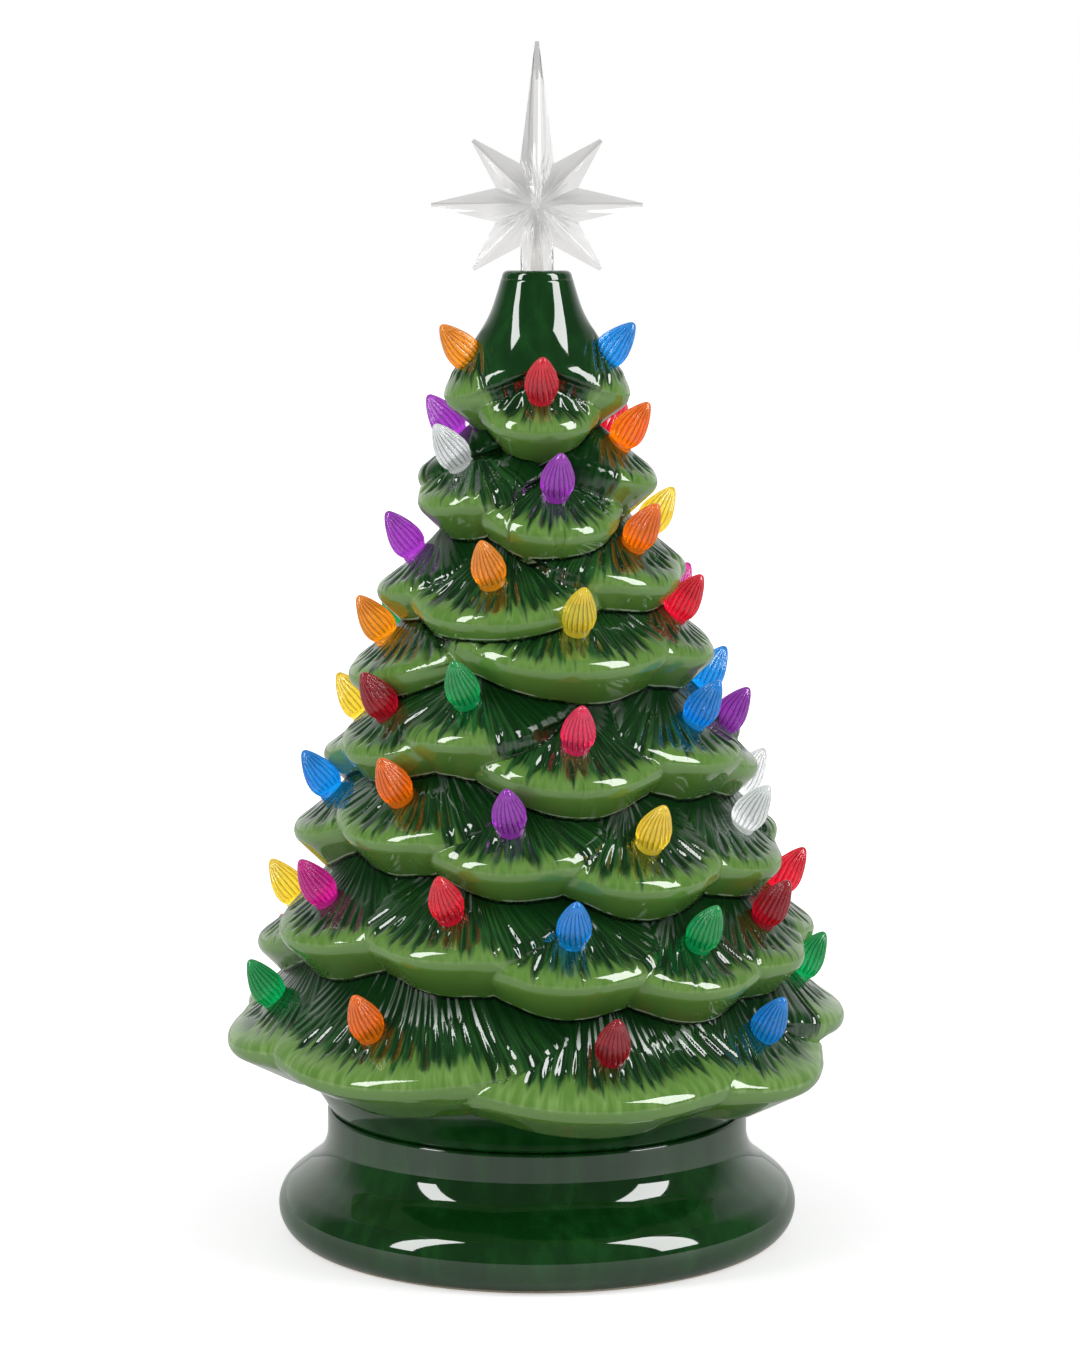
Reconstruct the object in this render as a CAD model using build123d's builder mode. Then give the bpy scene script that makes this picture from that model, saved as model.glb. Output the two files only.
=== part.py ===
"""Ceramic tabletop Christmas tree.

A slip-cast, glazed tree stands on a glazed stand. Plastic bulbs are cemented into holes in its boughs, and a
clear star plugs into its top. A battery lamp on the stand's deck lights all of them from inside.

Millimetres, +Z up. The origin is on the floor at the centre of the stand, and the front faces -Y.
"""

import os
from math import atan2, cos, degrees, pi, radians, sin, tan

from build123d import *

# Cutting and fitting
overrun = 2.0  # a cutter passes this far beyond the face that it cuts
running_gap = 0.3  # between pieces that slide or swing past each other
seat_gap = 0.02  # between pieces that rest on each other

# Sides of small round pieces and of their bores
round_sides = 14
bore_sides = 8

# Stand: glazed ceramic, open below, with a deck and a collar on top
stand_height = 41.0  # floor to the deck that carries the tree
foot_radius = 78.0
foot_land = 8.0  # width of the unglazed ring on the floor
foot_lip = 3.0  # height of the ring's inner wall
bulge_radius = 84.0
bulge_height = 8.5
shoulder_radius = 79.8
shoulder_height = 17.5
neck_radius = 68.0
neck_corner_height = 26.7
neck_blend_radius = 14.0
stand_wall = 5.0
collar_height = 6.0
collar_wall = 4.0
collar_clearance = 0.6

# Tree: glazed ceramic shell
tree_height = 269.0  # deck to the top of the cap
tree_foot_radius = 67.0
tree_opening_radius = 58.0
tree_opening_lip = 4.0  # straight height of the opening's wall
core_sides = 20
skirt_radius = 77.0
skirt_height = 16.0  # above the tree's foot
belly_height = 17.0
middle_radius = 48.5
middle_drop = 150.0  # below the top of the cap
waist_radius = 11.5
waist_drop = 50.0
flare_radius = 19.5
flare_drop = 32.0
cap_radius = 10.9
cap_straight = 5.0
cap_edge = 2.0
flare_steps = 4
shell_wall = 5.0

# Boughs: each row's rim hangs one pitch below the one above, and reaches further out as it hangs lower
row_pitch = 28.3
top_rim_drop = 42.5  # top of the cap to the rim of the first row
top_rim_reach = 29.8
widest_reach = 101.0
reach_growth_share = 0.352  # of the drop below the first row
bough_radii = (19.0, 23.0, 25.0, 27.0, 28.0, 30.0, 32.0, 42.0)
bough_tilts = (20.0, 16.0, 14.0, 14.0, 14.0, 14.0, 14.0, 12.0)
bough_sides = 10
bough_top_slopes = (21.0, 21.0, 21.0, 21.0, 21.0, 21.0, 21.0, 20.0)
bough_under_slopes = (58.0, 58.0, 58.0, 58.0, 58.0, 58.0, 58.0, 39.0)
bough_nose_radius = 4.4
bough_depth_share = 0.9  # of the bough's radius

# Each row from the top: azimuth in degrees from the front towards +X, lift as a share of the row pitch,
# width as a share of the row's bough radius, and the colour of the bulb
bough_shares = (
    ((-72, 0.03, 1.0, "amber"), (3, -0.3, 1.0, "red"), (76, 0.05, 1.0, "blue"), (178, -0.1, 1.2, "green")),
    (
        (-55, -0.12, 1.0, "clear"), (10.5, -0.4, 1.0, "purple"), (74, 0.1, 1.0, "orange"),
        (130, 0.05, 1.0, "red"), (186, -0.2, 1.05, "gold"), (255, 0.15, 1.0, "purple"),
    ),
    (
        (-85, -0.13, 1.0, "purple"), (-20, -0.33, 1.2, "amber"), (54, 0.02, 1.2, "orange"),
        (106, 0.1, 1.0, "gold"), (158, -0.05, 1.05, "blue"), (214, 0.0, 1.05, "ruby"),
    ),
    (
        (-83, -0.07, 1.25, "amber"), (15.5, 0.18, 1.3, "gold"), (72, 0.2, 1.0, "red"),
        (115, 0.2, 0.95, "magenta"), (160, -0.1, 1.05, "orange"), (203, -0.1, 1.05, "blue"),
        (242, -0.02, 0.95, "green"),
    ),
    (
        (-57, 0.18, 1.0, "ruby"), (-24, 0.4, 1.0, "green"), (12, -0.05, 1.05, "rose"),
        (60, 0.08, 1.1, "blue"), (86, -0.12, 0.95, "purple"), (107, 0.25, 0.95, "blue"),
        (152, -0.1, 1.15, "gold"), (203, 0.0, 1.15, "orange"), (255, -0.05, 1.05, "gold"),
    ),
    (
        (-88, 0.15, 1.05, "blue"), (-41, 0.33, 1.1, "orange"), (-7, 0.1, 1.0, "purple"),
        (30, -0.12, 1.1, "gold"), (70, -0.12, 1.0, "clear"), (102, 0.08, 0.95, "clear"),
        (146, 0.0, 1.15, "rose"), (192, -0.1, 1.15, "green"), (235, 0.0, 1.1, "purple"),
    ),
    (
        (-60, 0.14, 1.2, "magenta"), (-20.5, 0.18, 1.05, "red"), (8, -0.05, 1.0, "blue"),
        (38.5, -0.2, 1.0, "green"), (64, -0.12, 0.95, "ruby"), (92, 0.0, 1.0, "red"),
        (130, 0.05, 1.2, "orange"), (172, -0.05, 1.25, "blue"), (216, 0.0, 1.2, "green"),
        (259, -0.22, 1.05, "gold"),
    ),
    (
        (-75, -0.15, 1.0, "green"), (-36, -0.17, 1.05, "orange"), (15, -0.32, 1.15, "ruby"),
        (54, -0.35, 1.05, "blue"), (88, 0.02, 0.95, "green"), (126, -0.1, 1.05, "magenta"),
        (168, -0.2, 1.1, "amber"), (208, -0.1, 1.1, "clear"), (246, -0.05, 1.05, "red"),
    ),
)

# Bulbs: plastic drops with a collar and a peg, cemented into the boughs
bulb_length = 17.3
bulb_radius = 5.4
bulb_collar_radius = 4.2
bulb_sides = 6
bulb_height_shares = (0.28, 0.64)  # of the bulb's length
bulb_width_shares = (1.0, 0.76)  # of the bulb's radius
peg_radius = 2.2
peg_length = 8.0
peg_sides = 4
peg_clearance = 0.1
bulb_hole_depth = 30.0
bulb_pocket_gap = 0.3  # round a bulb where clay has to stand back from it
seat_insets = (12.5, 15.5, 15.5, 15.5, 15.5, 15.5, 15.5, 18.0)  # by row, from the rim in to the bulb's seat

# Star: clear plastic, ridged on both faces, on a hollow stem
star_rise = 20.5  # top of the cap to the middle of the star
star_long_ray = 51.0
star_side_ray = 33.4
star_short_ray = 28.6
star_root_ray = 17.0  # closes the star's middle inside the stem
star_valley_radius = 14.0
star_valley_angle = 22.5  # half of the turn from one ray to the next
star_half_thickness = 5.2
star_edge_thickness = 1.2
star_tip_width = 1.2
stem_radius = 5.2
star_peg_radius = 4.0
star_peg_length = 20.0
star_peg_clearance = 0.2
star_bore_radius = 2.6
star_bore_tip_radius = 0.8
star_bore_length = 34.0
star_stem_sink = 1.2  # of the stem's top, below the star's middle

# Lamp: a post through the deck, a nut and washer that clamp it, and the light on its head
lamp_hole_radius = 11.0
post_radius = 10.0
post_bore_radius = 6.0
post_head_height = 92.0  # floor to the board's seat
post_foot_radius = 16.5
post_foot_thickness = 2.0
post_shoulder_radius = 20.0
post_shoulder_thickness = 2.0
post_port_width = 5.0  # of the slot that lets the leads in
washer_thickness = 1.5
nut_radius = 18.0
nut_height = 6.0
nut_sides = 12
board_radius = 9.0
board_thickness = 1.6
chip_length = 3.5
chip_width = 2.8
chip_height = 0.8
chip_ring_radius = 5.6
chip_count = 5
diffuser_radius = 13.0
diffuser_wall = 1.6
diffuser_skirt = 18.0  # height of its straight wall
diffuser_crown_radius = 7.0
diffuser_crown_height = 7.0
diffuser_grip = 4.0  # height of the ring that grips the post
diffuser_overhang = 8.0  # from the post's head down to the grip's lower edge

# Battery unit: a plate with a well for three cells, a door, a switch and leads
plate_radius = 69.0
plate_height = 2.0  # floor to the plate's lower face
plate_thickness = 2.5
cell_radius = 7.1
cell_length = 49.2
cell_button_radius = 2.7
cell_button_length = 1.0
cell_pitch = 14.9
cell_lift = 0.6  # above the plate's upper face
contact_thickness = 0.5
contact_width = 9.0
contact_bottom = 7.0  # above the plate's lower face
contact_top = 17.0
contact_tail_length = 4.0
contact_tail_width = 2.4
spring_depth = 3.4
well_wall = 1.8
well_headroom = 0.6  # above the cells
well_side_room = 1.0  # beside the outer cells
door_thickness = 2.0
door_tongue_width = 8.0
door_tongue_reach = 3.2
door_tongue_thickness = 1.4
door_tongue_root = 1.6
door_tongue_spread = 11.0
door_slot_height = 4.2
door_tab_reach = 8.6
door_tab_width = 14.0
door_screw_inset = 4.2  # from the tab's end
screw_shaft_radius = 1.25
screw_head_radius = 2.6
screw_head_height = 1.0
door_screw_grip = 3.0
door_boss_radius = 4.0
door_boss_height = 8.0
door_boss_bore_radius = 1.7
post_screw_spread = 13.0
switch_distance = 44.0  # from the axis
switch_length = 13.0
switch_width = 7.0
switch_height = 6.5
switch_travel = 4.0
switch_lining = 1.4
knob_length = 3.0
knob_width = 3.0
knob_floor_gap = 0.8
slider_length = 5.0
slider_height = 2.4
lead_radius = 0.8
lead_sides = 4
lead_bend_radius = 1.5
lead_link_drop = 3.5  # of the link below the leads that run to the post
lead_spread = 1.7  # of the two leads in the post, from the axis
lead_link_inset = 2.0  # of the leads on the switch, from its middle

os.makedirs("parts", exist_ok=True)

tree_foot = stand_height
cap_top = tree_foot + tree_height
deck_underside = stand_height - stand_wall
collar_radius = tree_opening_radius - collar_clearance
plate_top = plate_height + plate_thickness
well_half_length = cell_length / 2 + (cell_button_length + 2 * contact_thickness + spring_depth) / 2
well_half_width = cell_pitch + cell_radius + well_side_room
cell_height = plate_top + cell_lift + cell_radius
well_ceiling = cell_height + cell_radius + well_headroom
well_top = well_ceiling + well_wall


def ring(radius, height, sides):
    """Corners of a level polygon whose flats lie at the given radius, one flat facing +X."""
    corner = radius / cos(pi / sides)
    turns = [2 * pi * (step + 0.5) / sides for step in range(sides)]
    return [(corner * cos(turn), corner * sin(turn), height) for turn in turns]


def save(part, name):
    """Name a finished sub-part and write its file."""
    part.label = name
    export_step(part, f"parts/{name}.step")


# Boughs and the seats of their bulbs


def bough_profile(radius, row):
    """A bough's outline from its axis: apex, upper and lower ends of its blunt nose, lower end."""
    top, under = radians(bough_top_slopes[row]), radians(bough_under_slopes[row])
    nose = radius - bough_nose_radius
    nose_top = (nose + bough_nose_radius * sin(top), bough_nose_radius * cos(top))
    nose_under = (nose + bough_nose_radius * sin(under), -bough_nose_radius * cos(under))
    apex = (0, nose_top[1] + nose_top[0] * tan(top))
    depth = bough_depth_share * radius
    lower_end = (nose_under[0] - (depth + nose_under[1]) / tan(under), -depth)
    return apex, nose_top, nose_under, lower_end


def bough_location(row, azimuth, lift_share, width_share):
    """The middle of a bough's rim, on its azimuth and tipped outwards, with +X out to the nose."""
    drop = (row - lift_share) * row_pitch
    reach = min(top_rim_reach + drop * reach_growth_share, widest_reach)
    radius = bough_radii[row] * width_share
    tilt = bough_tilts[row]
    out = reach - radius * cos(radians(tilt))
    height = cap_top - top_rim_drop - drop + radius * sin(radians(tilt))
    return Location((0, 0, 0), (0, 0, azimuth - 90)) * Location((out, 0, height), (0, tilt, 0))


def seat_location(row, azimuth, lift_share, width_share):
    """A bulb's seat on the bough's upper slope, with +Z along the bulb."""
    radius = bough_radii[row] * width_share
    out = radius - seat_insets[row]
    slope = bough_top_slopes[row]
    apex = bough_profile(radius, row)[0]
    on_slope = Location((out, 0, apex[1] - out * tan(radians(slope))), (0, slope, 0))
    return bough_location(row, azimuth, lift_share, width_share) * on_slope


def make_bough(row, azimuth, lift_share, width_share):
    """One bough: a blunt, many-sided double cone in its place on the tree."""
    apex, *levels = bough_profile(bough_radii[row] * width_share, row)
    corners = [corner for out, height in levels for corner in ring(out, height, bough_sides)]
    with BuildPart(Plane(bough_location(row, azimuth, lift_share, width_share))) as bough:
        ConvexPolyhedron([(0, 0, apex[1])] + corners)
    return bough.part


boughs = []
seats_by_colour = {}
for row, row_shares in enumerate(bough_shares):
    for *place, colour in row_shares:
        boughs.append(make_bough(row, *place))
        seats_by_colour.setdefault(colour, []).append(seat_location(row, *place))
bulb_seats = [seat for seats in seats_by_colour.values() for seat in seats]

# Tree shell: core, cap and boughs, hollowed out and bored for the bulbs and the star


def bulb_corners(gap):
    """Corners of a bulb above its seat, larger all round by the gap."""
    corners = ring(bulb_collar_radius + gap, seat_gap, bulb_sides)
    for height_share, width_share in zip(bulb_height_shares, bulb_width_shares):
        corners += ring(bulb_radius * width_share + gap, bulb_length * height_share, bulb_sides)
    return corners + [(0, 0, bulb_length + gap)]


with BuildPart() as bulb_hole:
    hole_radius = peg_radius + peg_clearance
    ConvexPolyhedron(ring(hole_radius, overrun, peg_sides) + ring(hole_radius, -bulb_hole_depth, peg_sides))
    ConvexPolyhedron(bulb_corners(bulb_pocket_gap))

cap_levels = [(cap_radius - cap_edge, cap_top), (cap_radius, cap_top - cap_edge)]
for step in range(flare_steps + 1):
    flared = step / flare_steps
    cap_levels.append((
        cap_radius + (flare_radius - cap_radius) * flared**2,
        cap_top - cap_straight - (flare_drop - cap_straight) * flared,
    ))
cap_levels.append((waist_radius, cap_top - waist_drop))

with BuildPart() as tree_shell:
    ConvexPolyhedron(
        ring(tree_foot_radius, tree_foot, core_sides)
        + ring(skirt_radius, tree_foot + skirt_height, core_sides)
        + ring(middle_radius, cap_top - middle_drop, core_sides)
        + ring(waist_radius, cap_top - waist_drop, core_sides)
    )
    for upper, lower in zip(cap_levels, cap_levels[1:]):
        ConvexPolyhedron(ring(*upper, core_sides) + ring(*lower, core_sides))
    add(boughs, clean=False)
    split(bisect_by=Plane.XY.offset(tree_foot), keep=Keep.TOP)
    ConvexPolyhedron(
        ring(tree_opening_radius, tree_foot + tree_opening_lip, core_sides)
        + ring(skirt_radius - shell_wall, tree_foot + belly_height, core_sides)
        + ring(middle_radius - shell_wall, cap_top - middle_drop, core_sides)
        + ring(waist_radius - shell_wall, cap_top - waist_drop, core_sides),
        mode=Mode.SUBTRACT,
    )
    with BuildSketch(Plane.XY.offset(tree_foot - overrun)):
        Circle(tree_opening_radius)
    extrude(amount=tree_opening_lip + 2 * overrun, mode=Mode.SUBTRACT)
    with BuildSketch(Plane.XY.offset(cap_top + overrun)):
        RegularPolygon(star_peg_radius + star_peg_clearance, round_sides)
    extrude(amount=-waist_drop - 2 * overrun, mode=Mode.SUBTRACT)
    with Locations(*bulb_seats):
        add(bulb_hole.part, mode=Mode.SUBTRACT)
save(tree_shell.part, "tree_shell")

# Bulbs, grouped by colour

with BuildPart() as bulb:
    ConvexPolyhedron(bulb_corners(0))
    ConvexPolyhedron(ring(peg_radius, seat_gap, peg_sides) + ring(peg_radius, -peg_length, peg_sides))

for colour, seats in seats_by_colour.items():
    with BuildPart() as bulbs:
        with Locations(*seats):
            add(bulb.part)
    save(bulbs.part, f"bulbs_{colour}")

# Stand: revolved shell with a collar inside the tree's opening

slant = Vector(shoulder_radius - neck_radius, neck_corner_height - shoulder_height)
slant_inset = stand_wall * slant.length / slant.Y  # level distance between the slant's two faces
inner_neck = neck_radius - stand_wall
inner_corner = shoulder_height + (shoulder_radius - slant_inset - inner_neck) * slant.Y / slant.X

with BuildPart() as stand_shell:
    with BuildSketch(Plane.XZ) as stand_profile:
        with BuildLine():
            bulge = ThreePointArc(
                (foot_radius, 0), (bulge_radius, bulge_height), (shoulder_radius, shoulder_height)
            )
            Polyline(
                bulge @ 1,
                (neck_radius, neck_corner_height),
                (neck_radius, stand_height),
                (collar_radius, stand_height),
                (collar_radius, stand_height + collar_height),
                (collar_radius - collar_wall, stand_height + collar_height),
                (collar_radius - collar_wall, stand_height),
                (lamp_hole_radius, stand_height),
                (lamp_hole_radius, deck_underside),
                (inner_neck, deck_underside),
                (inner_neck, inner_corner),
                (shoulder_radius - slant_inset, shoulder_height),
                (bulge_radius - stand_wall, bulge_height),
                (foot_radius - foot_land, foot_lip),
                (foot_radius - foot_land, 0),
                bulge @ 0,
            )
        make_face()
        neck_corner = stand_profile.vertices().sort_by_distance((neck_radius, neck_corner_height))[0]
        fillet(neck_corner, neck_blend_radius)
    revolve(axis=Axis.Z)
save(stand_shell.part, "stand_shell")

# Star: ridged rays about a common middle, on a stem with a peg

star_middle = cap_top + star_rise
ray_lengths = {
    90: star_long_ray, 45: star_short_ray, 0: star_side_ray, -45: star_short_ray,
    -90: star_root_ray, -135: star_short_ray, 180: star_side_ray, 135: star_short_ray,
}


def ray_corners(length):
    """Corners of a ray along +X: its part of the star's middle, a valley on each side and a blunt tip."""
    valley_out = star_valley_radius * cos(radians(star_valley_angle))
    valley_side = star_valley_radius * sin(radians(star_valley_angle))
    half_edge = star_edge_thickness / 2
    corners = [(0, star_half_thickness, 0), (0, -star_half_thickness, 0)]
    for out, side in ((valley_out, valley_side), (length, star_tip_width / 2)):
        corners += [(out, y, z) for y in (half_edge, -half_edge) for z in (side, -side)]
    return corners


with BuildPart() as star_topper:
    for angle, length in ray_lengths.items():
        with Locations(Location((0, 0, star_middle), (0, -angle, 0))):
            ConvexPolyhedron(ray_corners(length))
    with BuildSketch(Plane.XY.offset(cap_top + seat_gap)):
        RegularPolygon(stem_radius, round_sides)
    extrude(amount=star_rise - seat_gap - star_stem_sink)
    with BuildSketch(Plane.XY.offset(cap_top - star_peg_length)):
        RegularPolygon(star_peg_radius, round_sides)
    extrude(amount=star_peg_length + star_edge_thickness)
    bore_mouth = cap_top - star_peg_length
    ConvexPolyhedron(
        ring(star_bore_radius, bore_mouth - overrun, bore_sides)
        + ring(star_bore_radius, bore_mouth, bore_sides)
        + ring(star_bore_tip_radius, bore_mouth + star_bore_length, bore_sides),
        mode=Mode.SUBTRACT,
    )
save(star_topper.part, "star_topper")

# Lamp post, and the washer and nut that clamp it to the deck

washer_bottom = deck_underside - washer_thickness
foot_top = well_top + post_foot_thickness
shoulder_bottom = washer_bottom - post_shoulder_thickness
lead_angle = degrees(atan2(cell_pitch, well_half_length + well_wall + contact_tail_length / 2))
lead_plane = Plane.XZ.rotated((0, 0, lead_angle))

with BuildPart() as lamp_post:
    with BuildSketch(Plane.XY.offset(well_top)):
        RegularPolygon(post_foot_radius, round_sides)
    extrude(amount=post_foot_thickness)
    with BuildSketch(Plane.XY.offset(well_top)):
        RegularPolygon(post_radius, round_sides)
    extrude(amount=post_head_height - well_top)
    with BuildSketch(Plane.XY.offset(shoulder_bottom)):
        RegularPolygon(post_shoulder_radius, round_sides)
    extrude(amount=post_shoulder_thickness)
    with BuildSketch(Plane.XY.offset(well_top)):
        RegularPolygon(post_bore_radius, round_sides)
    extrude(amount=post_head_height - well_top, mode=Mode.SUBTRACT)
    with BuildSketch(Plane.XY.offset(foot_top)):
        Rectangle(2 * post_foot_radius, post_port_width, rotation=lead_angle)
    extrude(amount=shoulder_bottom - foot_top, mode=Mode.SUBTRACT)
    with BuildSketch(Plane.XY.offset(well_top)):
        with Locations((0, post_screw_spread), (0, -post_screw_spread)):
            RegularPolygon(screw_shaft_radius + seat_gap, round_sides)
    extrude(amount=post_foot_thickness, mode=Mode.SUBTRACT)
save(lamp_post.part, "lamp_post")

with BuildPart() as deck_washer:
    with BuildSketch(Plane.XY.offset(washer_bottom)):
        RegularPolygon(post_shoulder_radius, round_sides)
        RegularPolygon(post_radius + seat_gap, round_sides, mode=Mode.SUBTRACT)
    extrude(amount=washer_thickness)
save(deck_washer.part, "deck_washer")

with BuildPart() as ring_nut:
    with BuildSketch(Plane.XY.offset(stand_height)):
        RegularPolygon(nut_radius, nut_sides)
        RegularPolygon(post_radius + seat_gap, round_sides, mode=Mode.SUBTRACT)
    extrude(amount=nut_height)
save(ring_nut.part, "ring_nut")

with BuildPart() as post_screws:
    for side in (1, -1):
        with BuildSketch(Plane.XY.offset(well_ceiling)):
            with Locations((0, side * post_screw_spread)):
                RegularPolygon(screw_shaft_radius, round_sides)
        extrude(amount=well_wall + post_foot_thickness)
        with BuildSketch(Plane.XY.offset(foot_top)):
            with Locations((0, side * post_screw_spread)):
                RegularPolygon(screw_head_radius, round_sides)
        extrude(amount=screw_head_height)
save(post_screws.part, "post_screws")

# Light on the post's head

board_top = post_head_height + board_thickness

with BuildPart() as led_board:
    with BuildSketch(Plane.XY.offset(post_head_height)):
        RegularPolygon(board_radius, round_sides)
    extrude(amount=board_thickness)
save(led_board.part, "led_board")

with BuildPart() as led_chips:
    with BuildSketch(Plane.XY.offset(board_top)):
        with PolarLocations(chip_ring_radius, chip_count):
            Rectangle(chip_width, chip_length)
    extrude(amount=chip_height)
save(led_chips.part, "led_chips")

skirt_bottom = post_head_height - diffuser_overhang
skirt_top = skirt_bottom + diffuser_skirt
inner_radius = diffuser_radius - diffuser_wall

with BuildPart() as lamp_diffuser:
    ConvexPolyhedron(
        ring(diffuser_radius, skirt_bottom, round_sides)
        + ring(diffuser_radius, skirt_top, round_sides)
        + ring(diffuser_crown_radius, skirt_top + diffuser_crown_height, round_sides)
    )
    ConvexPolyhedron(
        ring(inner_radius, skirt_bottom + diffuser_grip, round_sides)
        + ring(inner_radius, skirt_top, round_sides)
        + ring(diffuser_crown_radius, skirt_top + diffuser_crown_height - diffuser_wall, round_sides),
        mode=Mode.SUBTRACT,
    )
    with BuildSketch(Plane.XY.offset(skirt_bottom)):
        RegularPolygon(post_radius + seat_gap, round_sides)
    extrude(amount=diffuser_grip, mode=Mode.SUBTRACT)
save(lamp_diffuser.part, "lamp_diffuser")

# Battery unit: plate, well and the boss for the door's screw

door_end = well_half_length + well_wall + door_tab_reach
door_screw_out = door_end - door_screw_inset
contact_middle = (contact_bottom + contact_top) / 2 + plate_height
tail_height = plate_height + contact_top - contact_thickness
switch_middle = Vector(switch_distance, 0).rotate(Axis.Z, lead_angle)
switch_frame = Plane.XY.rotated((0, 0, lead_angle)).shift_origin((switch_middle.X, switch_middle.Y, 0))


def door_outline(gap):
    """The door's outline in the plate, larger all round by the gap."""
    Rectangle(2 * (well_half_length - running_gap + gap), 2 * (well_half_width - running_gap + gap))
    Rectangle(door_end + gap, door_tab_width + 2 * gap, align=(Align.MIN, Align.CENTER))


with BuildPart() as unit_housing:
    with BuildSketch(Plane.XY.offset(plate_height)):
        Circle(plate_radius)
    extrude(amount=plate_thickness)
    with BuildSketch(Plane.XY.offset(plate_height)):
        Rectangle(2 * (well_half_length + well_wall), 2 * (well_half_width + well_wall))
    extrude(amount=well_top - plate_height)
    with BuildSketch(Plane.XY.offset(plate_height)):
        with Locations((door_screw_out, 0)):
            RegularPolygon(door_boss_radius, round_sides)
    extrude(amount=plate_thickness + door_boss_height)
    with BuildSketch(Plane.XY.offset(plate_height)):
        Rectangle(2 * well_half_length, 2 * well_half_width)
    extrude(amount=well_ceiling - plate_height, mode=Mode.SUBTRACT)
    with BuildSketch(Plane.XY.offset(plate_height)):
        door_outline(running_gap)
    extrude(amount=door_thickness + running_gap, mode=Mode.SUBTRACT)
    with BuildSketch(Plane.XY.offset(plate_height)):
        with Locations((door_screw_out, 0)):
            RegularPolygon(door_boss_bore_radius, round_sides)
    extrude(amount=plate_thickness + door_boss_height, mode=Mode.SUBTRACT)
    with BuildSketch(Plane.XY.offset(plate_top)):
        with Locations(*[(-well_half_length - well_wall / 2, side * door_tongue_spread) for side in (1, -1)]):
            Rectangle(2 * well_wall, door_tongue_width + 2 * running_gap)
    extrude(amount=door_slot_height, mode=Mode.SUBTRACT)
    with BuildSketch(Plane.XY.offset(tail_height)):
        for side in (1, -1):
            with Locations((side * (well_half_length + well_wall / 2), side * cell_pitch)):
                Rectangle(2 * well_wall, contact_tail_width)
    extrude(amount=contact_thickness, mode=Mode.SUBTRACT)
    with BuildSketch(Plane.XY.offset(well_ceiling)):
        with Locations((0, post_screw_spread), (0, -post_screw_spread)):
            RegularPolygon(screw_shaft_radius + seat_gap, round_sides)
    extrude(amount=well_wall, mode=Mode.SUBTRACT)
    with BuildSketch(switch_frame.offset(plate_height)):
        Rectangle(knob_width + 2 * running_gap, knob_length + switch_travel + 2 * running_gap)
    extrude(amount=plate_thickness, mode=Mode.SUBTRACT)
save(unit_housing.part, "unit_housing")

with BuildPart() as battery_door:
    with BuildSketch(Plane.XY.offset(plate_height)):
        door_outline(0)
    extrude(amount=door_thickness)
    tongue_places = [(-well_half_length + running_gap, side * door_tongue_spread) for side in (1, -1)]
    with BuildSketch(Plane.XY.offset(plate_height)):
        with Locations(*tongue_places):
            Rectangle(door_tongue_root, door_tongue_width, align=(Align.MIN, Align.CENTER))
    extrude(amount=plate_thickness + seat_gap + door_tongue_thickness)
    with BuildSketch(Plane.XY.offset(plate_top + seat_gap)):
        with Locations(*tongue_places):
            Rectangle(door_tongue_reach, door_tongue_width, align=(Align.MAX, Align.CENTER))
    extrude(amount=door_tongue_thickness)
    with BuildSketch(Plane.XY.offset(plate_height)):
        with Locations((door_screw_out, 0)):
            RegularPolygon(screw_shaft_radius + running_gap, round_sides)
    extrude(amount=door_thickness, mode=Mode.SUBTRACT)
    with BuildSketch(Plane.XY.offset(plate_height)):
        with Locations((door_screw_out, 0)):
            RegularPolygon(screw_head_radius + running_gap, round_sides)
    extrude(amount=screw_head_height, mode=Mode.SUBTRACT)
save(battery_door.part, "battery_door")

with BuildPart() as door_screw:
    with BuildSketch(Plane.XY.offset(plate_height)):
        with Locations((door_screw_out, 0)):
            Circle(screw_head_radius)
    extrude(amount=screw_head_height)
    with BuildSketch(Plane.XY.offset(plate_height)):
        with Locations((door_screw_out, 0)):
            Circle(screw_shaft_radius)
    extrude(amount=plate_thickness + door_screw_grip)
save(door_screw.part, "door_screw")

# Cells, laid side by side with every other one turned round, and their contacts

button_end = well_half_length - contact_thickness
cell_sides = {"cell_left": (-1, 1), "cell_middle": (0, -1), "cell_right": (1, 1)}  # across, button's side

for name, (across, side) in cell_sides.items():
    with BuildPart() as cell:
        cell_end = Plane((side * button_end, across * cell_pitch, cell_height), z_dir=(-side, 0, 0))
        with BuildSketch(cell_end.offset(seat_gap)):
            RegularPolygon(cell_button_radius, round_sides)
        extrude(amount=cell_button_length)
        with BuildSketch(cell_end.offset(cell_button_length)):
            RegularPolygon(cell_radius, round_sides)
        extrude(amount=cell_length)
    save(cell.part, name)

with BuildPart() as contact_plates:
    for across, side in cell_sides.values():
        with BuildSketch(Plane((side * button_end, across * cell_pitch, contact_middle), z_dir=(side, 0, 0))):
            Rectangle(contact_top - contact_bottom, contact_width)
        extrude(amount=contact_thickness)
    with BuildSketch(Plane.XY.offset(tail_height)):
        with Locations((button_end, cell_pitch)):
            Rectangle(contact_tail_length, contact_tail_width, align=(Align.MIN, Align.CENTER))
    extrude(amount=contact_thickness)
save(contact_plates.part, "contact_plates")

spring_tail_length = contact_tail_length - contact_thickness

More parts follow.
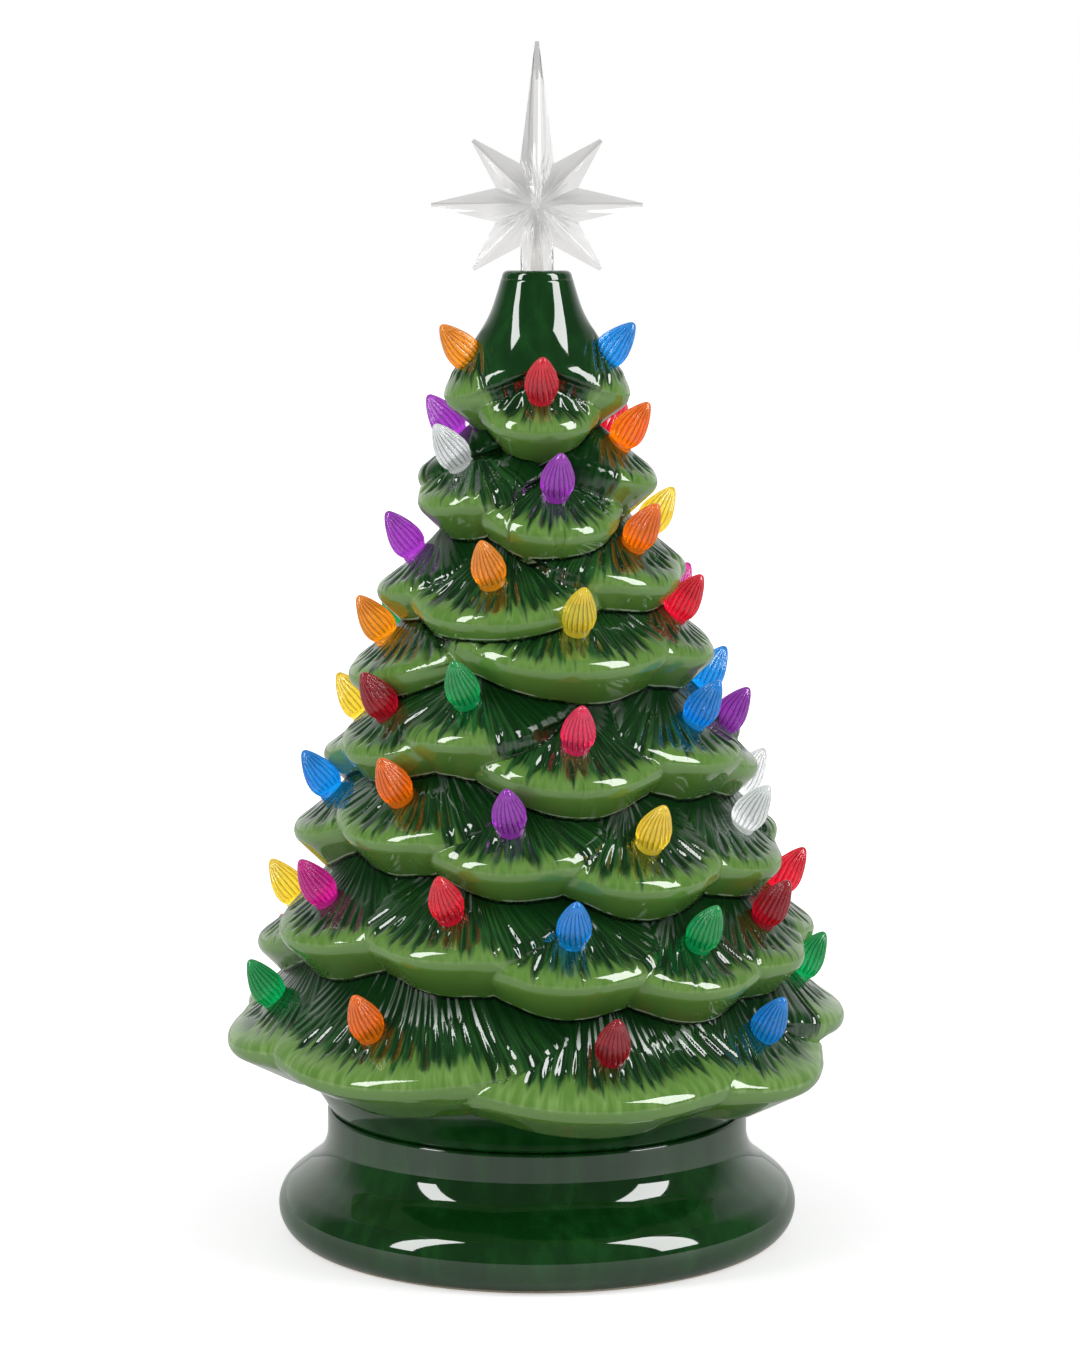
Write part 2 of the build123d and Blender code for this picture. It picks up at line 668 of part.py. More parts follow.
with BuildPart() as contact_springs:
    for across, side in cell_sides.values():
        wall = -side * well_half_length
        tip = wall + side * (spring_depth + contact_thickness - seat_gap)
        low, high = plate_height + contact_bottom, plate_height + contact_top
        with BuildSketch(Plane.XZ.offset(-across * cell_pitch)):
            Polygon((wall, low), (tip, contact_middle), (wall, high), align=None)
            inset = side * contact_thickness
            Polygon(
                (wall + inset, low + 2 * contact_thickness),
                (tip - inset, contact_middle),
                (wall + inset, high - 2 * contact_thickness),
                align=None,
                mode=Mode.SUBTRACT,
            )
        extrude(amount=contact_width / 2, both=True)
    with BuildSketch(Plane.XY.offset(tail_height)):
        with Locations((-well_half_length, -cell_pitch)):
            Rectangle(spring_tail_length, contact_tail_width, align=(Align.MAX, Align.CENTER))
    extrude(amount=contact_thickness)
save(contact_springs.part, "contact_springs")

# Slide switch on the plate, with its knob in a slot

with BuildPart() as switch_body:
    with BuildSketch(switch_frame.offset(plate_top)):
        Rectangle(switch_width, switch_length)
    extrude(amount=switch_height)
    with BuildSketch(switch_frame.offset(plate_top)):
        Rectangle(switch_width - 2 * switch_lining, switch_length - 2 * switch_lining)
    extrude(amount=slider_height + 2 * running_gap, mode=Mode.SUBTRACT)
save(switch_body.part, "switch_body")

with BuildPart() as switch_slider:
    rest = switch_frame.offset(plate_top + seat_gap)
    with BuildSketch(rest):
        with Locations((0, -switch_travel / 2)):
            Rectangle(switch_width - 2 * switch_lining - 2 * running_gap, slider_length)
    extrude(amount=slider_height)
    with BuildSketch(rest):
        with Locations((0, -switch_travel / 2)):
            Rectangle(knob_width, knob_length)
    extrude(amount=knob_floor_gap - plate_top)
save(switch_slider.part, "switch_slider")

# Leads, all in one upright plane through the axis, the contact tails and the switch

tail_out = Vector(well_half_length + well_wall + contact_tail_length / 2, cell_pitch).length
tail_top = tail_height + contact_thickness + seat_gap
switch_top = plate_top + switch_height + seat_gap
board_under = post_head_height - seat_gap
lead_run_height = (foot_top + shoulder_bottom) / 2
lead_link_height = lead_run_height - lead_link_drop
link_out, lamp_out = switch_distance - lead_link_inset, switch_distance + lead_link_inset
lead_routes = {
    "lead_black": ((-tail_out, tail_top), (-tail_out, lead_run_height), (-lead_spread, lead_run_height),
                   (-lead_spread, board_under)),
    "lead_red": ((lamp_out, switch_top), (lamp_out, lead_run_height), (lead_spread, lead_run_height),
                 (lead_spread, board_under)),
    "lead_link": ((tail_out, tail_top), (tail_out, lead_link_height), (link_out, lead_link_height),
                  (link_out, switch_top)),
}
for name, route in lead_routes.items():
    with BuildPart() as lead:
        with BuildLine(lead_plane):
            FilletPolyline(*route, radius=lead_bend_radius)
        with BuildSketch(Plane(lead_plane.from_local_coords((*route[0], 0)))):
            RegularPolygon(lead_radius, lead_sides)
        sweep()
    save(lead.part, name)
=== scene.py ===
"""Looks of a glazed ceramic Christmas tree on its stand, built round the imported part.

Metres in the scene, +Z up, the front towards -Y. Sizes in the classes are millimetres and degrees.
"""
import logging
import math
from dataclasses import dataclass, field
from enum import Enum

import bpy
import numpy as np
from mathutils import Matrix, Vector


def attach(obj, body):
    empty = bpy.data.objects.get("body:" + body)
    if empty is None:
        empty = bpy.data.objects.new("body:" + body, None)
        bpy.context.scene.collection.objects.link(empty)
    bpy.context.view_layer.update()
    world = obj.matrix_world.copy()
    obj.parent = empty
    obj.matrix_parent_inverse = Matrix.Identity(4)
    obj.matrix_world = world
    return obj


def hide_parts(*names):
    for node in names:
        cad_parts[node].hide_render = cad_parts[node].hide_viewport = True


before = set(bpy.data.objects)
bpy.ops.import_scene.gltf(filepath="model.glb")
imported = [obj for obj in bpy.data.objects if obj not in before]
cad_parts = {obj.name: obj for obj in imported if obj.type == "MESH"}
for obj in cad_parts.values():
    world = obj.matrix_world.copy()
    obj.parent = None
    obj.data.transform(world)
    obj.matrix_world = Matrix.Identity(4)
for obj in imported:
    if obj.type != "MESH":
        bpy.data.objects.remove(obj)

log = logging.getLogger("ceramic_tree")
MM = 0.001
Colour = tuple[float, float, float]
Place = tuple[float, float, float]
Span = tuple[float, float]
Array = np.ndarray
Piece = bpy.types.Object
Material = bpy.types.Material
Socket = bpy.types.NodeSocket


class Body(Enum):
    """The part's moving bodies."""

    stand = "stand"
    tree = "tree"
    star = "star"
    door = "door"
    screw = "screw"
    switch = "switch"


def smooth_step(low: float, high: float, value: Array) -> Array:
    """Ease from 0 to 1 between two values.

    Args:
        low: Where the step starts.
        high: Where it ends.
        value: The values to place on it.

    Returns:
        The eased shares.
    """
    share = np.clip((value - low) / (high - low), 0.0, 1.0)
    return share * share * (3.0 - 2.0 * share)


def select_only(piece: Piece) -> None:
    """Make one piece the only selected and the active one.

    Args:
        piece: The piece that the next operators work on.
    """
    bpy.ops.object.select_all(action="DESELECT")
    piece.select_set(True)
    bpy.context.view_layer.objects.active = piece


def in_edit_mode(piece: Piece, *steps: tuple) -> None:
    """Run mesh operators on the whole of a piece.

    Args:
        piece: The mesh to work on.
        steps: Pairs of an operator and its settings.
    """
    select_only(piece)
    bpy.ops.object.mode_set(mode="EDIT")
    bpy.ops.mesh.select_all(action="SELECT")
    for operator, settings in steps:
        operator(**settings)
    bpy.ops.object.mode_set(mode="OBJECT")


def apply_modifier(piece: Piece, kind: str, **settings: object) -> None:
    """Add a modifier with these settings and apply it.

    Args:
        piece: The mesh to change.
        kind: The modifier's type.
        settings: Its settings by name.
    """
    select_only(piece)
    modifier = piece.modifiers.new(kind.lower(), kind)
    for name, value in settings.items():
        setattr(modifier, name, value)
    bpy.ops.object.modifier_apply(modifier=modifier.name)


def rounded(corners: list[Place], step: float) -> Array:
    """Round a closed outline and space points along it.

    Args:
        corners: Out, up and corner radius of each corner, in order round the outline.
        step: About how far apart the points lie.

    Returns:
        The outline's points, two numbers each.
    """
    places = np.array([corner[:2] for corner in corners], float)
    count = len(places)
    joints = []
    for index, (_, _, radius) in enumerate(corners):
        here, last, following = places[index], places[index - 1], places[(index + 1) % count]
        back, ahead = last - here, following - here
        back_length, ahead_length = np.linalg.norm(back), np.linalg.norm(ahead)
        back, ahead = back / back_length, ahead / ahead_length
        half = math.acos(float(np.clip(back @ ahead, -1.0, 1.0))) / 2.0
        run = min(radius / math.tan(half), 0.48 * back_length, 0.48 * ahead_length) if radius else 0.0
        if run < 1e-6:
            joints.append([here])
            continue
        true_radius = run * math.tan(half)
        middle = here + (back + ahead) / np.linalg.norm(back + ahead) * true_radius / math.sin(half)
        first, final = here + back * run - middle, here + ahead * run - middle
        sweep = math.pi - 2.0 * half
        turn = math.copysign(sweep, first[0] * final[1] - first[1] * final[0])
        steps = max(3, math.ceil(sweep * true_radius / step))
        angles = np.linspace(0.0, turn, steps + 1)
        joints.append([
            middle + (
                first[0] * math.cos(angle) - first[1] * math.sin(angle),
                first[0] * math.sin(angle) + first[1] * math.cos(angle),
            )
            for angle in angles
        ])
    points = []
    for index, joint in enumerate(joints):
        points.extend(joint)
        start, stop = np.array(joint[-1]), np.array(joints[(index + 1) % count][0])
        pieces = max(1, round(float(np.linalg.norm(stop - start)) / step))
        points.extend(start + (stop - start) * share / pieces for share in range(1, pieces))
    return np.array(points)


def ring_piece(name: str, points: Array, **values: Array) -> Piece:
    """Wrap a grid primitive into a closed piece.

    Args:
        name: The piece's name.
        points: Columns by rows by three; the columns go round and each climbs on its outer side.
        values: Numbers for each point, stored under these names for the material to read.

    Returns:
        The smooth-shaded piece, with its seams and poles joined.
    """
    columns, rows = points.shape[:2]
    bpy.ops.object.select_all(action="DESELECT")
    bpy.ops.mesh.primitive_grid_add(x_subdivisions=columns, y_subdivisions=rows)
    piece = bpy.context.active_object
    piece.name = piece.data.name = name
    wrapped = np.pad(points * MM, ((0, 1), (0, 1), (0, 0)), mode="wrap").transpose(1, 0, 2)
    piece.data.vertices.foreach_set("co", np.ascontiguousarray(wrapped, np.float32).ravel())
    for label, numbers in values.items():
        attribute = piece.data.attributes.new(label, "FLOAT", "POINT")
        padded = np.pad(np.broadcast_to(numbers, (columns, rows)), ((0, 1), (0, 1)), mode="wrap").T
        attribute.data.foreach_set("value", np.ascontiguousarray(padded, np.float32).ravel())
    piece.data.update()
    in_edit_mode(
        piece,
        (bpy.ops.mesh.remove_doubles, {"threshold": 1e-6}),
        (bpy.ops.mesh.delete_loose, {}),
    )
    bpy.ops.object.shade_smooth()
    while piece.data.uv_layers:
        piece.data.uv_layers.remove(piece.data.uv_layers[0])
    return piece


def turns_of(columns: int) -> Array:
    """Return even turns round an axis, as one column of numbers."""
    return np.linspace(0.0, 2.0 * math.pi, columns, endpoint=False)[:, None]


def swept(radius: Array, up: Array) -> Array:
    """Place radii and heights round the upright axis.

    Args:
        radius: Distance from the axis, columns by rows.
        up: Height of each row or of each point.

    Returns:
        The points, columns by rows by three.
    """
    turn, height = turns_of(len(radius)), np.broadcast_to(up, radius.shape)
    return np.stack([radius * np.sin(turn), -radius * np.cos(turn), height], axis=2)


def revolved(name: str, outline: Array, columns: int, **values: Array) -> Piece:
    """Turn an outline round the upright axis.

    Args:
        name: The piece's name.
        outline: Out and up of its points, climbing on the outer side.
        columns: How many copies of it go round.
        values: Numbers for each point of the outline, by name.

    Returns:
        The piece, with its poles closed.
    """
    radius = np.broadcast_to(outline[:, 0], (columns, len(outline)))
    return ring_piece(name, swept(radius, outline[:, 1]), **values)


def softened(node: str, name: str, edge: float, angle: float = 30.0, **settings: object) -> Piece:
    """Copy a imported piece, join its faces and round its edges.

    Args:
        node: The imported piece's name.
        name: The new piece's name.
        edge: How far its sharp edges are rounded, in millimetres.
        angle: The least angle of an edge that is rounded.
        settings: More settings of the rounding.

    Returns:
        The smooth-shaded copy, without a material.
    """
    piece = bpy.data.objects.new(name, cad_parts[node].data.copy())
    bpy.context.scene.collection.objects.link(piece)
    piece.data.materials.clear()
    in_edit_mode(
        piece,
        (bpy.ops.mesh.remove_doubles, {"threshold": 1e-6}),
        (bpy.ops.mesh.dissolve_limited, {"angle_limit": math.radians(1.0)}),
    )
    if edge:
        limit = {"limit_method": "ANGLE", "angle_limit": math.radians(angle), "segments": 2}
        apply_modifier(piece, "BEVEL", width=edge * MM, **limit, **settings)
    select_only(piece)
    bpy.ops.object.shade_smooth_by_angle(angle=math.radians(28.0))
    return piece


def join_part(piece: Piece, node: str, slot: str, body: Body, *finishes: Material) -> None:
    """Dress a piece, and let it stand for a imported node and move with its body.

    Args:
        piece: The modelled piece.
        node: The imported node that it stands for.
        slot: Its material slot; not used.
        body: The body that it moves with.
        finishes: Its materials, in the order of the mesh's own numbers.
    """
    for finish in finishes:
        piece.data.materials.append(finish)
    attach(piece, body.value)
    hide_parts(node)
    log.info("%s: %d faces", piece.name, len(piece.data.polygons))


class NodeBoard:
    """One material's nodes, with short calls for the kinds that the finishes share."""

    def __init__(self, name: str) -> None:
        """Start a material with its one shader.

        Args:
            name: The material's name.
        """
        self.material = bpy.data.materials.new(name)
        self.material.use_nodes = True
        self.tree = self.material.node_tree
        self.shader = self.tree.nodes["Principled BSDF"]

    def feed(self, socket: Socket, value: object) -> None:
        """Link a socket, or set its own value.

        Args:
            socket: The input to feed.
            value: Another node's output, a number or a colour.
        """
        if isinstance(value, Socket):
            self.tree.links.new(value, socket)
        elif isinstance(value, tuple) and socket.type == "RGBA":
            socket.default_value = (*value[:3], 1.0)
        else:
            socket.default_value = value

    def surface(self, **inputs: object) -> Material:
        """Set the shader's inputs.

        Args:
            inputs: Values by input name, with underscores for its spaces.

        Returns:
            The finished material.
        """
        for name, value in inputs.items():
            self.feed(self.shader.inputs[name.replace("_", " ")], value)
        return self.material

    def place(self) -> Socket:
        """Return the place on the object, in metres."""
        return self.tree.nodes.new("ShaderNodeTexCoord").outputs["Object"]

    def stored(self, name: str) -> Socket:
        """Read a number stored on the mesh.

        Args:
            name: The attribute's name.

        Returns:
            The number at each point.
        """
        node = self.tree.nodes.new("ShaderNodeAttribute")
        node.attribute_name = name
        return node.outputs["Fac"]

    def height(self) -> Socket:
        """Read the height on the object.

        Returns:
            The height, in metres.
        """
        node = self.tree.nodes.new("ShaderNodeSeparateXYZ")
        self.feed(node.inputs[0], self.place())
        return node.outputs["Z"]

    def maths(self, action: str, *values: object, clamp: bool = False) -> Socket:
        """Work out one to three values.

        Args:
            action: The operation's name.
            values: Outputs or numbers.
            clamp: Whether the result stays between 0 and 1.

        Returns:
            The result.
        """
        node = self.tree.nodes.new("ShaderNodeMath")
        node.operation = action
        node.use_clamp = clamp
        for socket, value in zip(node.inputs, values):
            self.feed(socket, value)
        return node.outputs[0]

    def joined(self, *values: object) -> Socket:
        """Make a vector of three values.

        Args:
            values: Outputs or numbers.

        Returns:
            The vector.
        """
        node = self.tree.nodes.new("ShaderNodeCombineXYZ")
        for socket, value in zip(node.inputs, values):
            self.feed(socket, value)
        return node.outputs[0]

    def scaled(self, vector: Socket, scale: Place) -> Socket:
        """Stretch a vector along each axis.

        Args:
            vector: The vector to stretch.
            scale: The three factors.

        Returns:
            The stretched vector.
        """
        node = self.tree.nodes.new("ShaderNodeVectorMath")
        node.operation = "MULTIPLY"
        self.feed(node.inputs[0], vector)
        node.inputs[1].default_value = scale
        return node.outputs[0]

    def noise(self, vector: Socket, scale: float, detail: float = 2.0, rough: float = 0.5) -> Socket:
        """Read a smooth noise.

        Args:
            vector: Where it is read.
            scale: Its cells for each unit.
            detail: Its finer layers.
            rough: Their strength.

        Returns:
            A value about 0.5.
        """
        node = self.tree.nodes.new("ShaderNodeTexNoise")
        self.feed(node.inputs["Vector"], vector)
        for name, value in (("Scale", scale), ("Detail", detail), ("Roughness", rough)):
            self.feed(node.inputs[name], value)
        return node.outputs["Fac"]

    def streaks(
        self, across: Socket, fine: float, along: Socket, coarse: float, patch: object, detail: float = 2.0,
    ) -> Socket:
        """Read a noise that is drawn out along a surface.

        Args:
            across: The place across the streaks.
            fine: Cells for each unit across.
            along: The place along them.
            coarse: Cells for each unit along.
            patch: Which part of the noise is read.
            detail: Its finer layers.

        Returns:
            A value about 0.5.
        """
        wide, tall = self.maths("MULTIPLY", across, fine), self.maths("MULTIPLY", along, coarse)
        return self.noise(self.joined(wide, tall, patch), 1.0, detail)

    def spread(self, value: object, low: float, high: float, first: float = 0.0, last: float = 1.0) -> Socket:
        """Ease a value from one range to another.

        Args:
            value: The value.
            low: Start of its range.
            high: End of its range.
            first: What the start becomes.
            last: What the end becomes.

        Returns:
            The eased value.
        """
        node = self.tree.nodes.new("ShaderNodeMapRange")
        node.interpolation_type = "SMOOTHSTEP"
        for socket, number in zip(node.inputs, (value, low, high, first, last)):
            self.feed(socket, number)
        return node.outputs[0]

    def mixed(self, share: object, first: object, second: object, blend: str = "MIX") -> Socket:
        """Mix two colours.

        Args:
            share: How much of the second.
            first: The colour below.
            second: The colour above.
            blend: How they mix.

        Returns:
            The mixed colour.
        """
        node = self.tree.nodes.new("ShaderNodeMix")
        node.data_type = "RGBA"
        node.blend_type = blend
        for index, value in ((0, share), (6, first), (7, second)):
            self.feed(node.inputs[index], value)
        return node.outputs[2]

    def brushed(self, deep: Colour, mid: Colour) -> Socket:
        """Lay faint upright brush marks over a dark colour.

        Args:
            deep: The colour below.
            mid: The colour of the marks.

        Returns:
            The brushed colour.
        """
        brush = self.noise(self.scaled(self.place(), (1.0, 1.0, 0.16)), 160.0, 3.0)
        cloud = self.noise(self.place(), 24.0, 2.0)
        marks = self.maths("ADD", brush, self.maths("MULTIPLY", cloud, 0.5))
        return self.mixed(self.spread(marks, 0.62, 1.0), deep, mid)

    def bump(self, height: Socket, strength: float, distance: float) -> Socket:
        """Bend the normal by a height.

        Args:
            height: The height, from 0 to 1.
            strength: The share of the effect.
            distance: How tall a height of 1 is, in metres.

        Returns:
            The bent normal.
        """
        node = self.tree.nodes.new("ShaderNodeBump")
        self.feed(node.inputs["Height"], height)
        self.feed(node.inputs["Strength"], strength)
        self.feed(node.inputs["Distance"], distance)
        return node.outputs[0]


@dataclass(frozen=True)
class TreeGlaze:
    """Brushed high-gloss glaze: deep green slopes with deep green painted shade under the tier above, light
    rims, near-black painted shade in the creases and a painted highlight line beside them.
    """

    deep: Colour = (0.0026, 0.0240, 0.0045)
    mid: Colour = (0.018, 0.092, 0.018)
    light: Colour = (0.105, 0.228, 0.040)
    pale: Colour = (0.190, 0.335, 0.090)
    under: Colour = (0.058, 0.148, 0.024)
    brown: Colour = (0.110, 0.115, 0.022)
    # painted shade: the near-black colour along the creases where tiers meet
    crease: Colour = (0.0012, 0.0060, 0.0028)
    # painted highlight: the pale line on the face just above each crease
    painted_glint: Colour = (0.62, 0.70, 0.60)
    gloss: float = 0.045
    index: float = 1.62

    def material(self) -> Material:
        """Make the glaze, driven by the numbers stored on the tiers.

        Returns:
            The material.
        """
        board = NodeBoard("tree_glaze")
        across, along = board.stored("across"), board.stored("along")
        bough, groove = board.stored("bough"), board.stored("groove")
        crease, below = board.stored("crease"), board.stored("below")
        plain, shelter = board.stored("plain"), board.stored("shelter")
        strokes = board.streaks(across, 0.40, along, 0.05, bough)
        fine = board.streaks(across, 0.9, along, 0.07, bough, 1.0)
        ragged = board.maths("MULTIPLY_ADD", board.maths("SUBTRACT", strokes, 0.5), 24.0, along)
        depth = board.spread(ragged, 0.5, 8.0)
        rim = board.mixed(board.spread(strokes, 0.35, 0.7), self.light, self.pale)
        slope = board.mixed(board.spread(fine, 0.36, 0.68, 0.0, 0.85), self.deep, self.mid)
        # Painted shade: the slope turns deep green where it lies sheltered under the tier above.
        slope = board.mixed(board.maths("MULTIPLY", shelter, 0.8), slope, self.deep)
        slope = board.mixed(plain, slope, board.brushed(PlainGlaze.deep, PlainGlaze.mid))
        colour = board.mixed(depth, rim, slope)
        colour = board.mixed(board.maths("MULTIPLY", groove, 0.9), colour, self.deep)
        drip = board.streaks(across, 0.16, below, 0.03, bough)
        under = board.mixed(board.spread(drip, 0.52, 0.72, 0.0, 0.55), self.under, self.brown)
        lip = board.mixed(board.spread(below, 0.0, 15.0), self.light, under)
        colour = board.mixed(board.spread(below, -0.6, 0.6), colour, lip)
        # Painted highlight: a thin pale line on the face just above each crease, broken up along its length.
        painted_glint = board.maths("MULTIPLY", board.spread(crease, 0.20, 0.30), board.spread(crease, 0.48, 0.38))
        glint_breaks = board.maths("MULTIPLY", board.spread(below, 2.0, 4.0), board.spread(drip, 0.40, 0.55))
        painted_glint = board.maths("MULTIPLY", painted_glint, glint_breaks)
        colour = board.mixed(board.maths("MULTIPLY", painted_glint, 0.55), colour, self.painted_glint)
        # Painted shade: the colour turns near-black along the creases where tiers meet.
        colour = board.mixed(board.spread(crease, 0.30, 0.75), colour, self.crease)
        wave = board.noise(board.place(), 70.0, 1.0)
        covered = board.maths("MAXIMUM", shelter, crease)
        return board.surface(
            Base_Color=colour, Roughness=board.maths("MULTIPLY_ADD", shelter, 0.10, self.gloss),
            IOR=self.index, Specular_IOR_Level=board.maths("MULTIPLY_ADD", covered, -0.44, 0.5),
            Normal=board.bump(wave, 0.25, 0.0006),
        )


@dataclass(frozen=True)
class PlainGlaze:
    """Smooth dark green glaze with faint upright brush marks, bare clay at the foot and inside."""

    name: str
    deep: Colour = (0.0028, 0.0320, 0.0046)
    mid: Colour = (0.0072, 0.0580, 0.0095)
    clay: Colour = (0.62, 0.54, 0.41)
    foot: float = 0.0011
    gloss: float = 0.045
    index: float = 1.62

    def material(self) -> Material:
        """Make the glaze, bare below its foot line and where the mesh is marked bare.

        Returns:
            The material.
        """
        board = NodeBoard(self.name)
        place = board.place()
        colour = board.brushed(self.deep, self.mid)
        edge = board.maths("MULTIPLY_ADD", board.noise(place, 60.0, 2.0), 0.0008, board.height())
        foot = board.spread(edge, self.foot + 0.0008, self.foot)
        bare = board.maths("MAXIMUM", foot, board.stored("bare"), clamp=True)
        grain = board.noise(place, 900.0, 3.0)
        clay = board.mixed(board.spread(grain, 0.35, 0.7, 0.0, 0.5), self.clay, (0.50, 0.42, 0.31))
        colour = board.mixed(bare, colour, clay)
        rough = board.maths("MULTIPLY_ADD", bare, 0.75, self.gloss)
        wave = board.noise(place, 45.0, 1.0)
        return board.surface(
            Base_Color=colour, Roughness=rough, IOR=self.index, Normal=board.bump(wave, 0.12, 0.0008),
        )


@dataclass(frozen=True)
class BulbPlastic:
    """Clear tinted plastic of the bulbs, with a painted highlight towards the tip, painted shade in the
    flutes and a painted glow.
    """

    name: str
    tint: Colour
    # painted glow: how strongly the plastic gives off its own colour
    glow: float = 0.22

    def material(self) -> Material:
        """Make the tinted plastic, paler towards the tip as a painted highlight, darker in the flutes as
        painted shade, with a painted glow.

        Returns:
            The material.
        """
        board = NodeBoard(self.name)
        rise, flute = board.stored("rise"), board.stored("flute")
        cloud = board.noise(board.place(), 420.0, 2.0)
        # Painted highlight: the colour turns paler towards the tip.
        pale = tuple(0.88 * channel + 0.12 for channel in self.tint)
        # Painted shade: a darker copy of the tint for the flutes.
        dark = tuple(0.34 * channel for channel in self.tint)
        colour = board.mixed(board.maths("MULTIPLY", board.spread(rise, 0.2, 1.0), cloud), self.tint, pale)
        # Painted shade: darker in the flutes.
        colour = board.mixed(board.spread(flute, 0.2, 0.9), colour, dark)
        return board.surface(
            Base_Color=colour, Roughness=0.01, IOR=1.47, Transmission_Weight=0.80,
            # Painted glow: the plastic gives off a little of its own colour.
            Emission_Color=colour, Emission_Strength=self.glow,
        )


@dataclass(frozen=True)
class ClearPlastic:
    """Clear moulded plastic of the star."""

    name: str
    tint: Colour = (0.78, 0.775, 0.765)
    lines: Colour = (0.56, 0.56, 0.555)
    middle: float = 0.3305

    def material(self) -> Material:
        """Make the clear plastic with fine moulding lines.

        Returns:
            The material.
        """
        board = NodeBoard(self.name)
        split = board.tree.nodes.new("ShaderNodeSeparateXYZ")
        board.feed(split.inputs[0], board.place())
        up = board.maths("SUBTRACT", split.outputs["Z"], self.middle)
        turn = board.maths("ARCTAN2", split.outputs["X"], up)
        squares = (board.maths("POWER", split.outputs["X"], 2.0), board.maths("POWER", up, 2.0))
        out = board.maths("SQRT", board.maths("ADD", *squares))
        lines = board.streaks(turn, 9.0, out, 60.0, 0.0)
        fan = board.maths("MULTIPLY", lines, board.spread(out, 0.024, 0.004))
        tint = board.mixed(board.spread(fan, 0.2, 0.7), self.tint, self.lines)
        return board.surface(
            Base_Color=tint, Roughness=0.015, IOR=1.34, Transmission_Weight=1.0,
            Normal=board.bump(fan, 0.5, 0.0012),
        )


@dataclass(frozen=True)
class Moulded:
    """A moulded, painted or drawn surface with a fine grain and a little wear."""

    name: str
    colour: Colour
    rough: float = 0.42
    metal: float = 0.0
    grain: float = 1400.0
    relief: float = 0.00006
    clear: float = 0.0
    shift: float = 0.82

    def material(self) -> Material:
        """Make the surface with its grain.

        Returns:
            The material.
        """
        board = NodeBoard(self.name)
        place = board.place()
        grain = board.noise(place, self.grain, 2.0)
        cloud = board.noise(place, 55.0, 3.0)
        worn = tuple(channel * self.shift for channel in self.colour)
        speckle = board.maths("ADD", board.maths("MULTIPLY", grain, 0.4), board.maths("MULTIPLY", cloud, 0.6))
        colour = board.mixed(board.spread(speckle, 0.35, 0.68), worn, self.colour)
        rough = board.spread(cloud, 0.3, 0.7, self.rough * 0.85, min(1.0, self.rough * 1.2))
        return board.surface(
            Base_Color=colour, Roughness=rough, Metallic=self.metal, Transmission_Weight=self.clear,
            Normal=board.bump(grain, 0.35, self.relief),
        )


class BulbTint(Enum):
    """The bulbs' colours by the names of their groups."""

    amber = (0.95, 0.34, 0.01)
    blue = (0.008, 0.32, 0.84)
    clear = (0.90, 0.92, 0.93)
    gold = (0.98, 0.72, 0.05)
    green = (0.005, 0.40, 0.11)
    magenta = (0.72, 0.02, 0.36)
    orange = (0.98, 0.22, 0.005)
    purple = (0.42, 0.05, 0.58)
    red = (0.85, 0.012, 0.045)
    rose = (0.90, 0.03, 0.14)
    ruby = (0.42, 0.004, 0.02)


@dataclass(frozen=True)
class BoughRow:
    """Sizes of the boughs of one row."""

    radius: float
    tilt: float
    top_slope: float
    under_slope: float
    seat_inset: float
    band: float = 0.5


class Bough:
    """One bough: a tilted double cone with a rounded nose, and the seat of its bulb."""

    nose = 4.4

    def __init__(self, seat: Array, azimuth: float, sizes: BoughRow) -> None:
        """Set the bough's frame from its bulb's seat.

        Args:
            seat: Where the bulb stands on it.
            azimuth: Its turn from the front towards +X.
            sizes: The sizes of its row.
        """
        self.seat, self.azimuth, self.sizes = seat, azimuth, sizes
        self.radius = sizes.radius
        tilt = math.radians(sizes.tilt)
        outward = np.array((math.sin(azimuth), -math.cos(azimuth), 0.0))
        upright = np.array((0.0, 0.0, 1.0))
        self.out_axis = outward * math.cos(tilt) - upright * math.sin(tilt)
        self.up_axis = outward * math.sin(tilt) + upright * math.cos(tilt)
        self.side_axis = np.array((math.cos(azimuth), math.sin(azimuth), 0.0))
        top = math.radians(sizes.top_slope)
        inset = sizes.seat_inset - self.nose + self.nose * math.sin(top)
        rise = self.nose * math.cos(top) + inset * math.tan(top)
        self.rim = seat + self.out_axis * sizes.seat_inset - self.up_axis * rise
        self.origin = self.rim - self.out_axis * self.radius

    def widen(self, share: float) -> None:
        """Make the bough wider about its rim.

        Args:
            share: Its new radius over the row's.
        """
        self.radius = self.sizes.radius * share
        self.origin = self.rim - self.out_axis * self.radius

    def local(self, x: Array, y: Array, z: Array) -> tuple[Array, Array, Array]:
        """Turn places into the bough's own frame.

        Args:
            x: To the right.
            y: To the back.
            z: Up.

        Returns:
            How far out, aside and up they lie.
        """
        offsets = (x - self.origin[0], y - self.origin[1], z - self.origin[2])
        return tuple(
            offsets[0] * axis[0] + offsets[1] * axis[1] + offsets[2] * axis[2]
            for axis in (self.out_axis, self.side_axis, self.up_axis)
        )

    def distance(self, x: Array, y: Array, z: Array) -> tuple[Array, Array]:
        """Measure places against the bough.

        Args:
            x: To the right.
            y: To the back.
            z: Up.

        Returns:
            How far they lie outside it, and whether on its upper side.
        """
        ahead, aside, up = self.local(x, y, z)
        out = np.hypot(ahead, aside) - (self.radius - self.nose)
        top, under = math.radians(self.sizes.top_slope), math.radians(self.sizes.under_slope)
        above = out * math.sin(top) + up * math.cos(top) - self.nose
        beneath = out * math.sin(under) - up * math.cos(under) - self.nose
        past_top = out * math.cos(top) - up * math.sin(top) > 0.0
        past_under = out * math.cos(under) + up * math.sin(under) > 0.0
        rounded_nose = np.hypot(out, up) - self.nose
        return np.where(past_top & past_under, rounded_nose, np.maximum(above, beneath)), above > beneath


